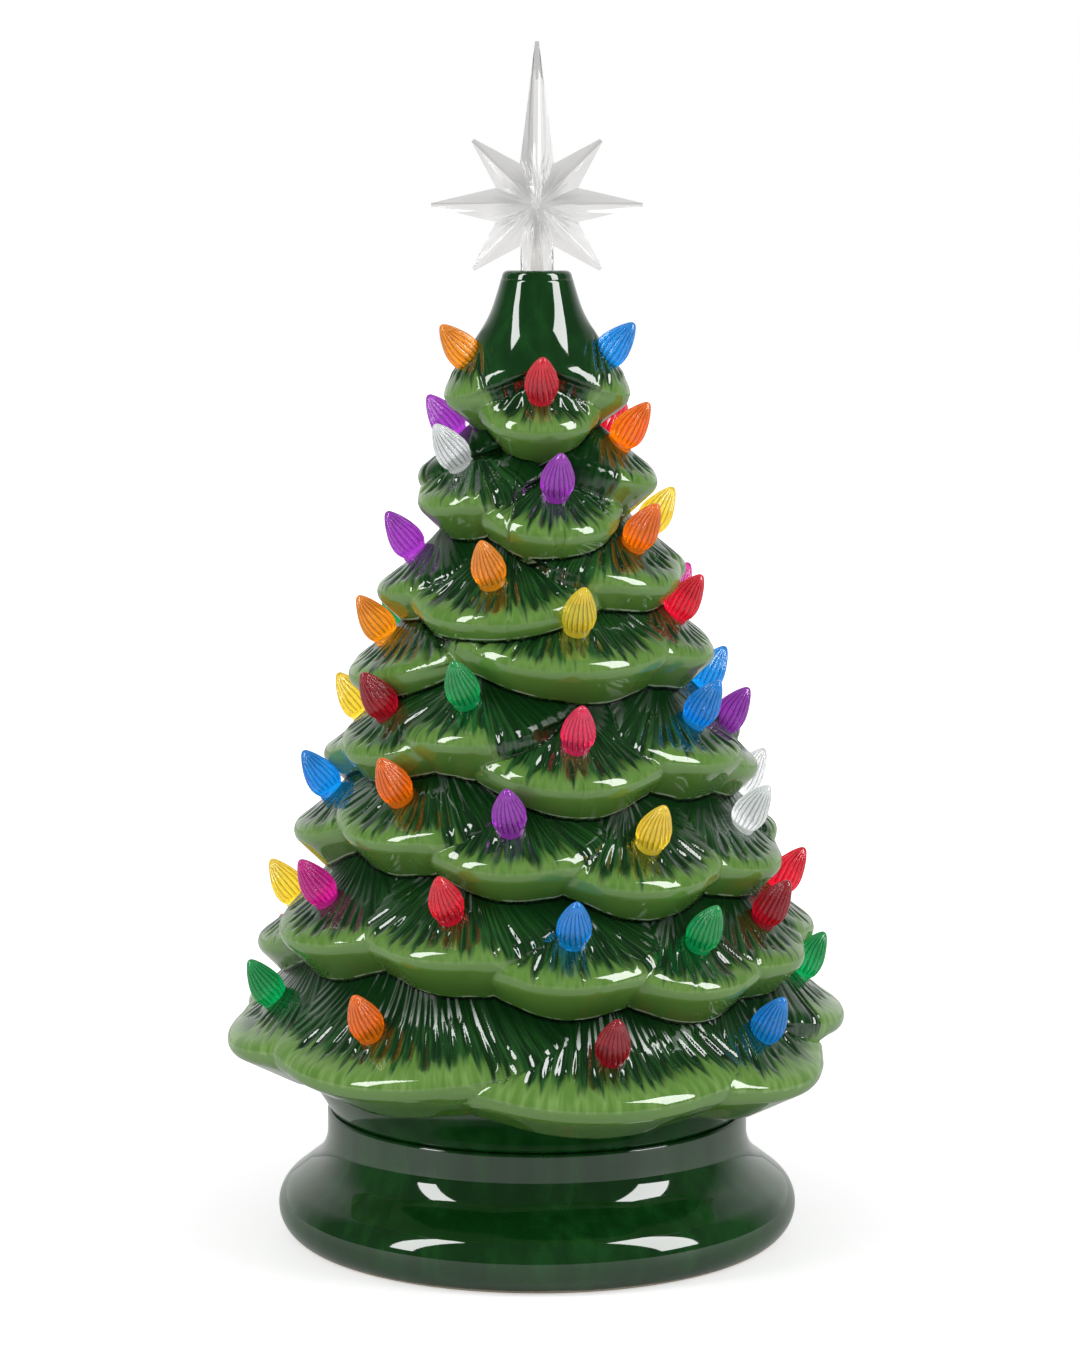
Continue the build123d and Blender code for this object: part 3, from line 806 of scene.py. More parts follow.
@dataclass
class BulbString:
    """The fluted plastic bulbs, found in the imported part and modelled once."""

    length: float = 17.3
    sink: float = 1.2
    flutes: int = 18
    flute_share: float = 0.14
    twist: float = 0.45
    flute_start: Span = (1.9, 3.4)
    flute_end: Span = (14.0, 16.8)
    base_radii: Span = (3.6, 4.0)
    turn_step: float = 2.399
    columns: int = 108
    rows: int = 30
    outline: tuple[Span, ...] = (
        (4.2, 0.6), (4.35, 1.0), (4.35, 1.5), (4.1, 1.9), (4.5, 2.5), (5.05, 3.5), (5.4, 5.0), (5.45, 6.2),
        (5.25, 8.0), (4.7, 10.0), (3.9, 12.0), (2.95, 14.0), (2.0, 15.6), (1.3, 16.6), (0.7, 17.15),
        (0.0, 17.3),
    )
    seats: dict[str, list[tuple[Array, Array]]] = field(default_factory=dict)

    def find(self) -> None:
        """Find each bulb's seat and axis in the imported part."""
        for tint in BulbTint:
            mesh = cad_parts[f"bulbs_{tint.name}"].data
            places = np.array([vertex.co for vertex in mesh.vertices], float) / MM
            keys, merged = np.unique(np.round(places, 3), axis=0, return_inverse=True)
            merged = np.asarray(merged).ravel()
            group = list(range(len(keys)))

            def top(index: int) -> int:
                """Return the first vertex of a vertex's group."""
                while group[index] != index:
                    index = group[index]
                return index

            for face in mesh.polygons:
                corners = [merged[index] for index in face.vertices]
                for other in corners[1:]:
                    group[top(other)] = top(corners[0])
            roots = np.array([top(index) for index in range(len(keys))])
            self.seats[tint.name] = [self.seat_of(keys[roots == root]) for root in np.unique(roots)]

    def seat_of(self, points: Array) -> tuple[Array, Array]:
        """Find the seat and axis of one bulb.

        Args:
            points: The bulb's vertices.

        Returns:
            The seat, and the axis towards the tip.
        """
        tip = points[np.argmax(np.linalg.norm(points - points.mean(0), axis=1))]
        order = np.argsort(-np.linalg.norm(points - tip, axis=1))
        axis = tip - points[order[:4]].mean(0)
        axis /= np.linalg.norm(axis)
        return tip - axis * self.length, axis

    def drop(self) -> tuple[Array, Array, Array]:
        """Shape the model bulb.

        Returns:
            Its points, how far up each row lies and the flutes' depth.
        """
        marks = np.array(self.outline)
        run = np.r_[0.0, np.cumsum(np.hypot(*np.diff(marks, axis=0).T))]
        steps = np.linspace(0.0, run[-1], self.rows)
        out, up = np.interp(steps, run, marks[:, 0]), np.interp(steps, run, marks[:, 1])
        out = np.r_[0.0, self.base_radii, out]
        up = np.r_[-self.sink, -self.sink, -self.sink * 0.6, up]
        turn = turns_of(self.columns)
        wave = 0.5 - 0.5 * np.cos(self.flutes * (turn + self.twist * up[None] / self.length))
        fade = smooth_step(*self.flute_start, up) * (1.0 - smooth_step(*self.flute_end, up))
        flute = (1.0 - wave**0.5) * fade[None]
        radius = out[None] * (1.0 - self.flute_share * flute)
        return swept(radius, up), np.clip(up / self.length, 0.0, 1.0), flute

    def build(self) -> None:
        """Stand a copy of the model bulb on every seat, one piece for each colour."""
        points, rise, flute = self.drop()
        for tint in BulbTint:
            copies = []
            for number, (seat, axis) in enumerate(self.seats[tint.name]):
                side = np.cross((0.0, 0.0, 1.0), axis)
                side /= np.linalg.norm(side)
                turn = self.turn_step * (number + 1)
                first = side * math.cos(turn) + np.cross(axis, side) * math.sin(turn)
                second = np.cross(axis, first)
                placed = seat + points @ np.stack([first, second, axis])
                copies.append(ring_piece(f"{tint.name}_bulb_{number + 1}", placed, rise=rise, flute=flute))
            bpy.ops.object.select_all(action="DESELECT")
            for copy in copies:
                copy.select_set(True)
            bpy.context.view_layer.objects.active = copies[0]
            if len(copies) > 1:
                bpy.ops.object.join()
            piece = copies[0]
            piece.name = piece.data.name = f"{tint.name}_fluted_bulbs"
            self.dress(piece, tint)

    def dress(self, piece: Piece, tint: BulbTint) -> None:
        """Give a colour's bulbs their plastic and their place in the part.

        Args:
            piece: The joined bulbs.
            tint: Their colour.
        """
        plastic = BulbPlastic(f"{tint.name}_bulb_plastic", tint.value).material()
        join_part(piece, f"bulbs_{tint.name}", f"bulb_{tint.name}", Body.tree, plastic)


@dataclass(frozen=True)
class NeedleFamily:
    """One set of incised needles: its spacing, where they start up the slope, and their sizes."""

    pitch_share: float
    starts: Span
    lengths: Span
    widths: Span
    strength: float
    top_strength: float


@dataclass
class TreeShell:
    """The tree: a hollow core with its cap, and eight tiers of scalloped boughs round it."""

    rows: tuple[BoughRow, ...] = (
        BoughRow(19.0, 20.0, 21.0, 58.0, 12.5),
        BoughRow(23.0, 16.0, 21.0, 58.0, 15.5),
        BoughRow(25.0, 14.0, 21.0, 58.0, 15.5),
        BoughRow(27.0, 14.0, 21.0, 58.0, 15.5),
        BoughRow(28.0, 14.0, 21.0, 58.0, 15.5),
        BoughRow(30.0, 14.0, 21.0, 58.0, 15.5),
        BoughRow(32.0, 14.0, 21.0, 58.0, 15.5),
        BoughRow(42.0, 12.0, 20.0, 39.0, 18.0, 5.0),
    )
    top_rim_height: float = 267.5
    row_pitch: float = 28.3
    seat_rise: float = 12.0
    top_rim_reach: float = 29.8
    reach_growth: float = 0.352
    merge: float = 8.0
    valley_cut: float = 1.0
    valley_width: float = 1.7
    stem_inset: float = 18.0
    stem_lean: float = 0.94
    drape: float = 17.0
    cap_drape: float = 16.0
    tuck: float = 1.6
    stem_levels: int = 52
    valley_depth: float = 8.0
    narrowest_share: float = 0.94
    widest_share: float = 1.36
    share_step: float = 0.02
    core_heights: tuple[float, ...] = (41.0, 57.0, 160.0, 260.0, 278.0)
    core_radii: tuple[float, ...] = (67.0, 77.0, 48.5, 11.5, 21.6)
    cap_top: float = 310.0
    cap_radius: float = 10.7
    cap_curve: float = 1.165
    cap_skin: float = 0.12
    wall: float = 5.0
    mouth_radius: float = 58.0
    socket_radius: float = 4.2
    socket_drop: float = 8.0
    core_columns: int = 144
    core_step: float = 1.6
    traced_below: float = 48.0
    traced_above: float = 40.0
    traced_levels: int = 230
    search_inset: float = 7.0
    search_room: float = 8.0
    search_steps: int = 15
    eased_columns: int = 6
    tuck_start: float = 0.88
    cap_tuck_start: float = 0.985
    column_step: float = 0.6
    upper_rows: int = 62
    lower_rows: int = 26
    needle_pitch: float = 4.3
    needle_depth: float = 0.7
    needle_reach: float = 0.72
    needle_families: tuple[NeedleFamily, ...] = (
        NeedleFamily(1.0, (0.8, 6.5), (11.0, 18.0), (1.1, 2.0), 1.0, 1.0),
        NeedleFamily(0.8, (10.0, 19.0), (16.0, 40.0), (1.0, 1.7), 0.45, 0.0),
    )
    seat_clear: Span = (5.2, 7.6)
    # where the slope lies under the tier above: painted shade there, and rougher, less shiny glaze
    shelter_run: Span = (14.0, 27.0)
    plain_run: Span = (9.0, 15.0)
    crease_width: float = 0.9
    bough_shift: float = 3.7
    row_shift: float = 11.0
    seed: int = 7

    def core_radius(self, height: Array) -> Array:
        """Measure the core.

        Args:
            height: Heights on the tree.

        Returns:
            Its outer radius at each height.
        """
        heights = np.asarray(height)
        foot, growth = self.core_heights[-1], self.core_radii[-1] - self.cap_radius
        share = np.clip((self.cap_top - heights) / (self.cap_top - foot), 0.0, 1.0)
        flare = self.cap_radius + growth * share**self.cap_curve
        return np.where(heights > foot, flare, np.interp(heights, self.core_heights, self.core_radii))

    def plan(self, bulbs: BulbString) -> list[list[Bough]]:
        """Set out the boughs.

        Args:
            bulbs: The bulbs, whose seats place the boughs.

        Returns:
            The boughs of each row, in order round the tree.
        """
        tiers: list[list[Bough]] = [[] for _ in self.rows]
        for seats in bulbs.seats.values():
            for seat, _ in seats:
                row = round((self.top_rim_height + self.seat_rise - seat[2]) / self.row_pitch)
                row = min(max(row, 0), len(self.rows) - 1)
                tiers[row].append(Bough(seat, math.atan2(seat[0], -seat[1]), self.rows[row]))
        for tier in tiers:
            tier.sort(key=lambda bough: bough.azimuth)
            for index, bough in enumerate(tier):
                before, after = tier[index - 1], tier[(index + 1) % len(tier)]
                turns = (after.azimuth - bough.azimuth, bough.azimuth - before.azimuth)
                gap = max(turn % (2.0 * math.pi) for turn in turns)
                bough.widen(self.width_share(bough, gap / 2.0))
        return tiers

    def width_share(self, bough: Bough, half_gap: float) -> float:
        """Find how wide a bough has to be for the valley beside it to stay shallow.

        Args:
            bough: The bough.
            half_gap: Half of the turn to the farther neighbour.

        Returns:
            Its radius over the row's.
        """
        reach = math.hypot(bough.rim[0], bough.rim[1])
        for share in np.arange(self.narrowest_share, self.widest_share, self.share_step):
            radius = bough.sizes.radius * share
            inset = reach - radius
            rest = radius**2 - (inset * math.sin(half_gap)) ** 2
            if rest > 0.0 and inset * math.cos(half_gap) + math.sqrt(rest) > reach - self.valley_depth:
                return float(share)
        return self.widest_share

    def stem_radius(self, height: Array) -> Array:
        """Measure the stem that the boughs' upper slopes sweep up to.

        Args:
            height: Heights on the tree.

        Returns:
            Its radius at each height.
        """
        reach = self.top_rim_reach + self.reach_growth * (self.top_rim_height - height)
        return np.maximum(reach - self.stem_inset, self.core_radius(height) + self.cap_skin)

    def field(self, tier: list[Bough], out: Array, turn: Array, height: Array, draped: bool = True) -> Array:
        """Measure places against a tier.

        Args:
            tier: The tier's boughs.
            out: Distance from the tree's axis.
            turn: Turn from the front.
            height: Height on the tree.
            draped: Whether the stem that the boughs sweep up to counts.

        Returns:
            How far they lie outside it.
        """
        x, y = out * np.sin(turn), -out * np.cos(turn)
        first, upper = tier[0].distance(x, y, height)
        second = np.full_like(first, 1e3)
        for bough in tier[1:]:
            other, other_upper = bough.distance(x, y, height)
            second = np.minimum(second, np.maximum(first, other))
            upper = np.where(other < first, other_upper, upper)
            first = np.minimum(first, other)
        apart = second - first
        close = np.maximum(self.merge - apart, 0.0) / self.merge
        joined = first - close * close * self.merge / 4.0
        joined = joined + self.valley_cut * np.exp(-apart / self.valley_width)
        if not draped:
            return joined
        stem = np.where(upper, (out - self.stem_radius(height)) * self.stem_lean, 1e3)
        drape = self.cap_drape if tier[0].sizes is self.rows[0] else self.drape
        near = np.maximum(drape - np.abs(joined - stem), 0.0) / drape
        return np.minimum(joined, stem) - near * near * drape / 4.0

    def outline(self, tier: list[Bough]) -> tuple[Array, Array]:
        """Trace a tier's surface.

        Args:
            tier: The tier's boughs.

        Returns:
            Its points, columns by rows, and each one's run from the crest.
        """
        reach = max(math.hypot(bough.rim[0], bough.rim[1]) for bough in tier)
        middle = sum(bough.rim[2] for bough in tier) / len(tier)
        columns = int(2.0 * math.pi * reach / self.column_step)
        turn = np.linspace(-math.pi, math.pi, columns, endpoint=False)
        is_cap = tier[0].sizes is self.rows[0]
        highest = self.cap_top - 2.0 if is_cap else middle + self.traced_above
        levels = np.linspace(middle - self.traced_below, highest, self.traced_levels)
        turns, heights = np.meshgrid(turn, levels, indexing="ij")
        inner = np.maximum(self.stem_radius(heights) - self.search_inset, 3.0)
        near, far = inner.copy(), np.full_like(inner, reach + self.search_room)
        for _ in range(self.search_steps):
            half = (near + far) / 2.0
            inside = self.field(tier, half, turns, heights) < 0.0
            near, far = np.where(inside, half, near), np.where(inside, far, half)
        solid = self.field(tier, inner, turns, heights, draped=False) < 0.0
        runs, crests = [], np.zeros(columns)
        for index in range(columns):
            held = np.flatnonzero(solid[index])
            first, last = held[0], len(levels) - 1
            if not is_cap:
                last = min(held[-1] + self.stem_levels, last)
            out, up = near[index, first:last + 1], levels[first:last + 1]
            run = np.r_[0.0, np.cumsum(np.hypot(np.diff(out), np.diff(up)))]
            runs.append((run, out, up))
            crests[index] = run[int(np.argmax(out))] / run[-1]
        beside = self.eased_columns
        wrapped = np.r_[crests[-beside:], crests, crests[:beside]]
        crests = np.convolve(wrapped, np.ones(2 * beside + 1) / (2 * beside + 1), mode="valid")
        tuck_start = self.cap_tuck_start if is_cap else self.tuck_start
        points = np.zeros((columns, self.lower_rows + self.upper_rows, 3))
        along = np.zeros(points.shape[:2])
        for index, (run, out, up) in enumerate(runs):
            crest = crests[index] * run[-1]
            steps = np.r_[
                np.linspace(0.0, crest, self.lower_rows, endpoint=False),
                np.linspace(crest, run[-1], self.upper_rows),
            ]
            climb = np.clip((steps - crest) / (run[-1] - crest), 0.0, 1.0)
            radius = np.interp(steps, run, out) - self.tuck * smooth_step(tuck_start, 1.0, climb)
            points[index, :, 0] = radius * math.sin(turn[index])
            points[index, :, 1] = -radius * math.cos(turn[index])
            points[index, :, 2] = np.interp(steps, run, up)
            along[index] = steps - crest
        return points, along

    def needles(
        self, bough: Bough, turn: Array, out: Array, along: Array, random: np.random.Generator,
    ) -> Array:
        """Incise the needles of one bough.

        Args:
            bough: The bough.
            turn: Turn about the bough's own axis.
            out: Distance from that axis.
            along: Run up the slope from the crest.
            random: The source of the needles' differences.

        Returns:
            How deep they are, from 0 to 1.
        """
        depth = np.zeros_like(turn)
        for family in self.needle_families:
            pitch = self.needle_pitch * family.pitch_share
            strength = family.top_strength if bough.sizes is self.rows[0] else family.strength
            count = int(2.0 * math.pi * bough.radius * self.needle_reach / pitch)
            cell = 2.0 * math.pi / count
            middles = (np.arange(count) + random.uniform(-0.28, 0.28, count)) * cell - math.pi
            ends, lengths = random.uniform(*family.starts, count), random.uniform(*family.lengths, count)
            widths, depths = random.uniform(*family.widths, count), random.uniform(0.6, 1.0, count) * strength
            base = np.floor((turn + math.pi) / cell).astype(int)
            for shift in (-1, 0, 1, 2):
                index = (base + shift) % count
                aside = np.abs((turn - middles[index] + math.pi) % (2.0 * math.pi) - math.pi) * out
                run = along - ends[index]
                opening = np.clip(run / 3.0, 0.0, 1.0) ** 0.8
                closing = np.clip((lengths[index] - run) / (0.7 * lengths[index]), 0.0, 1.0) ** 0.8
                shape = opening * closing
                cut = np.clip(1.0 - (aside / np.maximum(widths[index] * shape, 1e-3)) ** 2, 0.0, 1.0)
                depth = np.maximum(depth, cut * depths[index] * np.minimum(1.0, shape * 1.4))
        return depth

    def tier(self, row: int, tiers: list[list[Bough]], glaze: Material) -> None:
        """Model one tier and give it its glaze.

        Args:
            row: Its number from the top.
            tiers: The boughs of all the rows.
            glaze: The tree's glaze.
        """
        boughs = tiers[row]
        points, crest_run = self.outline(boughs)
        along = crest_run - self.rows[row].band
        x, y, z = points[..., 0], points[..., 1], points[..., 2]
        gaps = np.stack([bough.distance(x, y, z)[0] for bough in boughs])
        nearest = np.argmin(gaps, axis=0)
        random = np.random.default_rng(self.seed + row)
        across, groove, number = np.zeros_like(along), np.zeros_like(along), np.zeros_like(along)
        for index, bough in enumerate(boughs):
            mine = nearest == index
            ahead, aside, _ = bough.local(x[mine], y[mine], z[mine])
            turn, out = np.arctan2(aside, ahead), np.hypot(ahead, aside)
            cut = self.needles(bough, turn, out, along[mine], random)
            seat_gap = np.linalg.norm(points[mine] - bough.seat, axis=1)
            groove[mine] = cut * smooth_step(*self.seat_clear, seat_gap)
            across[mine] = turn * bough.radius
            number[mine] = index * self.bough_shift + row * self.row_shift
        around = np.roll(points, -1, axis=0) - np.roll(points, 1, axis=0)
        upward = np.gradient(points, axis=1)
        normals = np.cross(around, upward)
        normals /= np.maximum(np.linalg.norm(normals, axis=2, keepdims=True), 1e-9)
        others = [tiers[other] for other in (row - 1, row + 1) if 0 <= other < len(tiers)]
        turns, out = np.arctan2(x, -y), np.hypot(x, y)
        # How near each point lies to the tiers above and below; the glaze paints shade along these creases
        # and a highlight line beside them.
        crease = np.zeros_like(along)
        for other in others:
            gap = np.abs(self.field(other, out, turns, z, draped=row > 0))
            crease = np.maximum(crease, np.exp(-gap / self.crease_width))
        points = points - normals * (groove * self.needle_depth)[..., None]
        piece = ring_piece(
            f"tree_tier_{row + 1}", points,
            across=across, along=along, below=-crest_run, bough=number, groove=groove, crease=crease,
            # shelter marks the slope under the tier above, where the glaze paints shade and turns rougher and
            # less shiny.
            shelter=smooth_step(*self.shelter_run, along) * (row > 0),
            plain=smooth_step(*self.plain_run, along) * (row == 0),
        )
        join_part(piece, "tree_shell", "green_glaze", Body.tree, glaze)

    def core(self) -> None:
        """Model the hollow core with its cap and the socket of the star."""
        heights, radii = self.core_heights, self.core_radii
        corners = [(self.mouth_radius, heights[0], 1.0), (radii[0], heights[0], 0.8)]
        corners += [(radius, height, 6.0) for radius, height in zip(radii[1:4], heights[1:4])]
        flare = np.linspace(heights[4], self.cap_top - 3.0, 6)
        corners += [(float(self.core_radius(height)), height, 4.0) for height in flare]
        throat = heights[3] - self.socket_drop
        corners += [
            (self.cap_radius, self.cap_top, 2.2), (self.socket_radius, self.cap_top, 0.5),
            (self.socket_radius, throat, 0.5), (radii[3] - self.wall + 2.0, throat, 2.0),
            (radii[2] - self.wall, heights[2], 9.0), (radii[1] - self.wall, heights[1] + 1.0, 3.0),
            (self.mouth_radius, heights[0] + 4.0, 1.5),
        ]
        outline = rounded(corners, self.core_step)
        out, up = outline.T
        inside = (out < self.core_radius(up) - 3.0) & (up < self.cap_top - 1.0)
        piece = revolved("tree_core", outline, self.core_columns, bare=inside.astype(float))
        glaze = PlainGlaze("cap_glaze", foot=0.0405).material()
        join_part(piece, "tree_shell", "green_glaze", Body.tree, glaze)

    def build(self, bulbs: BulbString) -> None:
        """Model the core and every tier.

        Args:
            bulbs: The bulbs, whose seats place the boughs.
        """
        self.core()
        tiers = self.plan(bulbs)
        glaze = TreeGlaze().material()
        for row in range(len(tiers)):
            self.tier(row, tiers, glaze)


@dataclass
class Stand:
    """The glazed stand with its bulging foot, its neck and the collar inside the tree."""

    foot_radius: float = 78.0
    foot_land: float = 8.0
    foot_lip: float = 3.0
    bulge_radius: float = 84.0
    bulge_height: float = 8.5
    shoulder_radius: float = 79.8
    shoulder_height: float = 17.5
    neck_radius: float = 68.0
    neck_corner: float = 26.7
    neck_blend: float = 14.0
    top: float = 41.0
    wall: float = 5.0
    collar_radius: float = 57.4
    collar_wall: float = 4.0
    collar_height: float = 6.0
    lamp_hole: float = 11.0
    bulge_points: int = 30
    columns: int = 220
    step: float = 1.1

    def bulge(self) -> list[Place]:
        """Set points on the circle through foot, middle and shoulder.

        Returns:
            The points, with no rounding.
        """
        ends = np.array((
            (self.foot_radius, 0.0), (self.bulge_radius, self.bulge_height),
            (self.shoulder_radius, self.shoulder_height),
        ))
        sums = 2.0 * (ends[1:] - ends[:1])
        centre = np.linalg.solve(sums, (ends[1:] ** 2).sum(1) - (ends[0] ** 2).sum())
        spokes = ends - centre
        angles = np.unwrap(np.arctan2(spokes[:, 1], spokes[:, 0]))
        radius = float(np.hypot(*spokes[0]))
        return [
            (centre[0] + radius * math.cos(angle), centre[1] + radius * math.sin(angle), 0.0)
            for angle in np.linspace(angles[0], angles[2], self.bulge_points)
        ]

    def build(self) -> None:
        """Model the stand as one turned piece and glaze it."""
        bulge = self.bulge()
        bulge[0] = (*bulge[0][:2], 0.8)
        inner_neck, inner_collar = self.neck_radius - self.wall, self.collar_radius - self.collar_wall
        deck, rest, collar_top = self.top - self.wall, self.top - 0.2, self.top + self.collar_height
        inner_foot = self.foot_radius - self.foot_land
        corners = bulge + [
            (self.neck_radius, self.neck_corner, self.neck_blend), (self.neck_radius, rest, 0.8),
            (self.collar_radius, rest, 0.6), (self.collar_radius, collar_top, 1.0),
            (inner_collar, collar_top, 1.0), (inner_collar, self.top, 1.0),
            (self.lamp_hole, self.top, 0.4), (self.lamp_hole, deck, 0.4),
            (inner_neck, deck, 3.0), (inner_neck, self.neck_corner - 3.0, 8.0),
            (self.shoulder_radius - 6.0, self.shoulder_height - 1.0, 3.0),
            (self.bulge_radius - self.wall, self.bulge_height, 3.0),
            (inner_foot, self.foot_lip, 1.0), (inner_foot, 0.0, 0.8),
        ]
        outline = rounded(corners, self.step)
        piece = revolved("stand_glazed", outline, self.columns, bare=np.zeros(len(outline)))
        glaze = PlainGlaze("stand_green_glaze").material()
        join_part(piece, "stand_shell", "stand_glaze", Body.stand, glaze)


@dataclass
class Star:
    """The clear star with softened edges, which carry painted shade."""

    edge: float = 0.32
    edge_angle: float = 8.0
    # painted shade: the dark tint of the rounded edges and of their lines
    edge_shade_tint: Colour = (0.16, 0.16, 0.16)
    edge_shade_lines: Colour = (0.14, 0.14, 0.14)

    def build(self) -> None:
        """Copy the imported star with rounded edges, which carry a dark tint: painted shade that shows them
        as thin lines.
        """
        piece = softened("star_topper", "clear_star", self.edge, self.edge_angle, material=1)
        plastic = ClearPlastic("clear_star_plastic").material()
        # Painted shade: the rounded edges get a dark clear plastic so they show as thin dark lines.
        edges = ClearPlastic("clear_star_edge_shade", self.edge_shade_tint, self.edge_shade_lines).material()
        join_part(piece, "star_topper", "clear_star", Body.star, plastic, edges)


@dataclass(frozen=True)
class UnitPiece:
    """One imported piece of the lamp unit: its slot and finish, its rounding and its body."""

    slot: str
    finish: Moulded
    edge: float = 0.25
    body: Body = Body.stand


@dataclass(frozen=True)
class CellFinish:
    """A cell's plain satin sleeve and its bare steel ends."""

    sleeve: Colour = (0.055, 0.060, 0.070)
    band: Colour = (0.45, 0.28, 0.09)
    steel: Colour = (0.58, 0.58, 0.57)

    def material(self) -> Material:
        """Make the finish, driven by the numbers stored on the cell.

        Returns:
            The material.
        """
        board = NodeBoard("cell_sleeve")
        bare, ring = board.stored("bare"), board.stored("ring")
        scuff = board.noise(board.place(), 260.0, 4.0)
        sleeve = board.mixed(ring, self.sleeve, self.band)
        sleeve = board.mixed(board.spread(scuff, 0.55, 0.75, 0.0, 0.35), sleeve, (0.16, 0.16, 0.165))
        colour = board.mixed(bare, sleeve, self.steel)
        rough = board.spread(scuff, 0.3, 0.7, 0.18, 0.32)
        return board.surface(
            Base_Color=colour, Metallic=bare, Roughness=rough, Normal=board.bump(scuff, 0.2, 0.00005),
        )


@dataclass
class LampUnit:
    """The lamp on its threaded post, the battery well with its cells and door, and the switch."""

    pieces: dict[str, UnitPiece] = field(default_factory=lambda: {
        "lamp_post": UnitPiece("white_plastic", Moulded("post_plastic", (0.80, 0.80, 0.77)), 0.4),
        "ring_nut": UnitPiece("white_plastic", Moulded("nut_plastic", (0.76, 0.76, 0.73), 0.36), 0.6),
        "deck_washer": UnitPiece("grey_rubber", Moulded("washer_rubber", (0.10, 0.10, 0.105), 0.78), 0.2),
        "led_board": UnitPiece("board_green", Moulded("board_green", (0.02, 0.16, 0.06), 0.35), 0.1),
        "led_chips": UnitPiece("led_yellow", Moulded("chip_yellow", (0.86, 0.62, 0.10), 0.30), 0.1),
        "unit_housing": UnitPiece(
            "black_plastic", Moulded("housing_black", (0.022, 0.022, 0.024), 0.5, grain=900.0), 0.3,
        ),
        "battery_door": UnitPiece(
            "black_plastic", Moulded("door_black", (0.028, 0.028, 0.030), 0.46, grain=900.0), 0.3, Body.door,
        ),
        "post_screws": UnitPiece("screw_steel", Moulded("screw_steel", (0.60, 0.60, 0.58), 0.3, 1.0), 0.12),
        "door_screw": UnitPiece(
            "screw_steel", Moulded("door_screw_steel", (0.62, 0.62, 0.60), 0.28, 1.0), 0.12, Body.screw,
        ),
        "contact_springs": UnitPiece(
            "spring_steel", Moulded("spring_nickel", (0.66, 0.64, 0.60), 0.25, 1.0), 0.0,
        ),
        "contact_plates": UnitPiece(
            "spring_steel", Moulded("plate_nickel", (0.66, 0.65, 0.62), 0.22, 1.0), 0.0,
        ),
        "switch_body": UnitPiece("black_plastic", Moulded("switch_black", (0.030, 0.030, 0.032), 0.42), 0.2),
        "switch_slider": UnitPiece(
            "white_plastic", Moulded("slider_white", (0.76, 0.76, 0.73), 0.4), 0.25, Body.switch,
        ),
        "lead_black": UnitPiece("black_wire", Moulded("wire_black", (0.02, 0.02, 0.02), 0.4), 0.0),
        "lead_red": UnitPiece("red_wire", Moulded("wire_red", (0.50, 0.02, 0.02), 0.4), 0.0),
        "lead_link": UnitPiece("red_wire", Moulded("wire_link_red", (0.50, 0.02, 0.02), 0.4), 0.0),
    })
    thread_foot: float = 47.4
    thread_head: float = 80.0
    thread_radius: float = 10.35
    thread_depth: float = 0.6
    thread_pitch: float = 2.4
    dome_foot: float = 84.0
    dome_radius: float = 13.0
    dome_skirt: float = 18.0
    dome_crown: float = 7.0
    dome_rise: float = 7.0
    dome_wall: float = 1.6
    dome_grip: float = 10.3
    grip_height: float = 4.0
    cell_radius: float = 7.0
    cell_length: float = 49.2
    button_radius: float = 2.7
    button_length: float = 1.0
    band_run: Span = (12.5, 12.0)
    columns: int = 72
    cell_columns: int = 64

    def thread(self) -> None:
        """Model the thread on the post above its nut."""
        root = self.thread_radius - self.thread_depth - 0.3
        outline = rounded([
            (root, self.thread_foot, 0.0), (self.thread_radius, self.thread_foot, 0.3),
            (self.thread_radius, self.thread_head, 0.3), (root, self.thread_head, 0.0),
        ], 0.4)
        turn = turns_of(self.columns)
        out, up = (np.broadcast_to(numbers, (self.columns, len(outline))) for numbers in outline.T)
        wave = np.abs((up / self.thread_pitch + turn / (2.0 * math.pi)) % 1.0 - 0.5) * 2.0
        radius = np.maximum(out - self.thread_depth * smooth_step(0.25, 0.85, wave), root)
        piece = ring_piece("lamp_post_thread", swept(radius, up))
        plastic = Moulded("thread_plastic", (0.80, 0.80, 0.77)).material()
        join_part(piece, "lamp_post", "white_plastic", Body.stand, plastic)

    def dome(self) -> None:
        """Model the frosted dome over the light sources."""
        foot, top = self.dome_foot, self.dome_foot + self.dome_skirt
        crown, inner_crown = top + self.dome_rise, top + self.dome_rise - self.dome_wall
        inner, grip = self.dome_radius - self.dome_wall, foot + self.grip_height
        outline = rounded([
            (self.dome_grip, foot, 0.4), (self.dome_radius, foot, 0.6), (self.dome_radius, top, 9.0),
            (self.dome_crown, crown, 6.0), (0.0, crown, 0.0), (0.0, inner_crown, 0.0),
            (self.dome_crown - 1.0, inner_crown, 5.0), (inner, top - 0.6, 8.0), (inner, grip, 0.4),
            (self.dome_grip, grip, 0.2),
        ], 0.9)
        piece = revolved("lamp_diffuser_dome", outline, self.columns)
        frosting = Moulded("frosted_dome", (0.90, 0.90, 0.88), 0.45, clear=0.55).material()
        join_part(piece, "lamp_diffuser", "frosted_white", Body.stand, frosting)

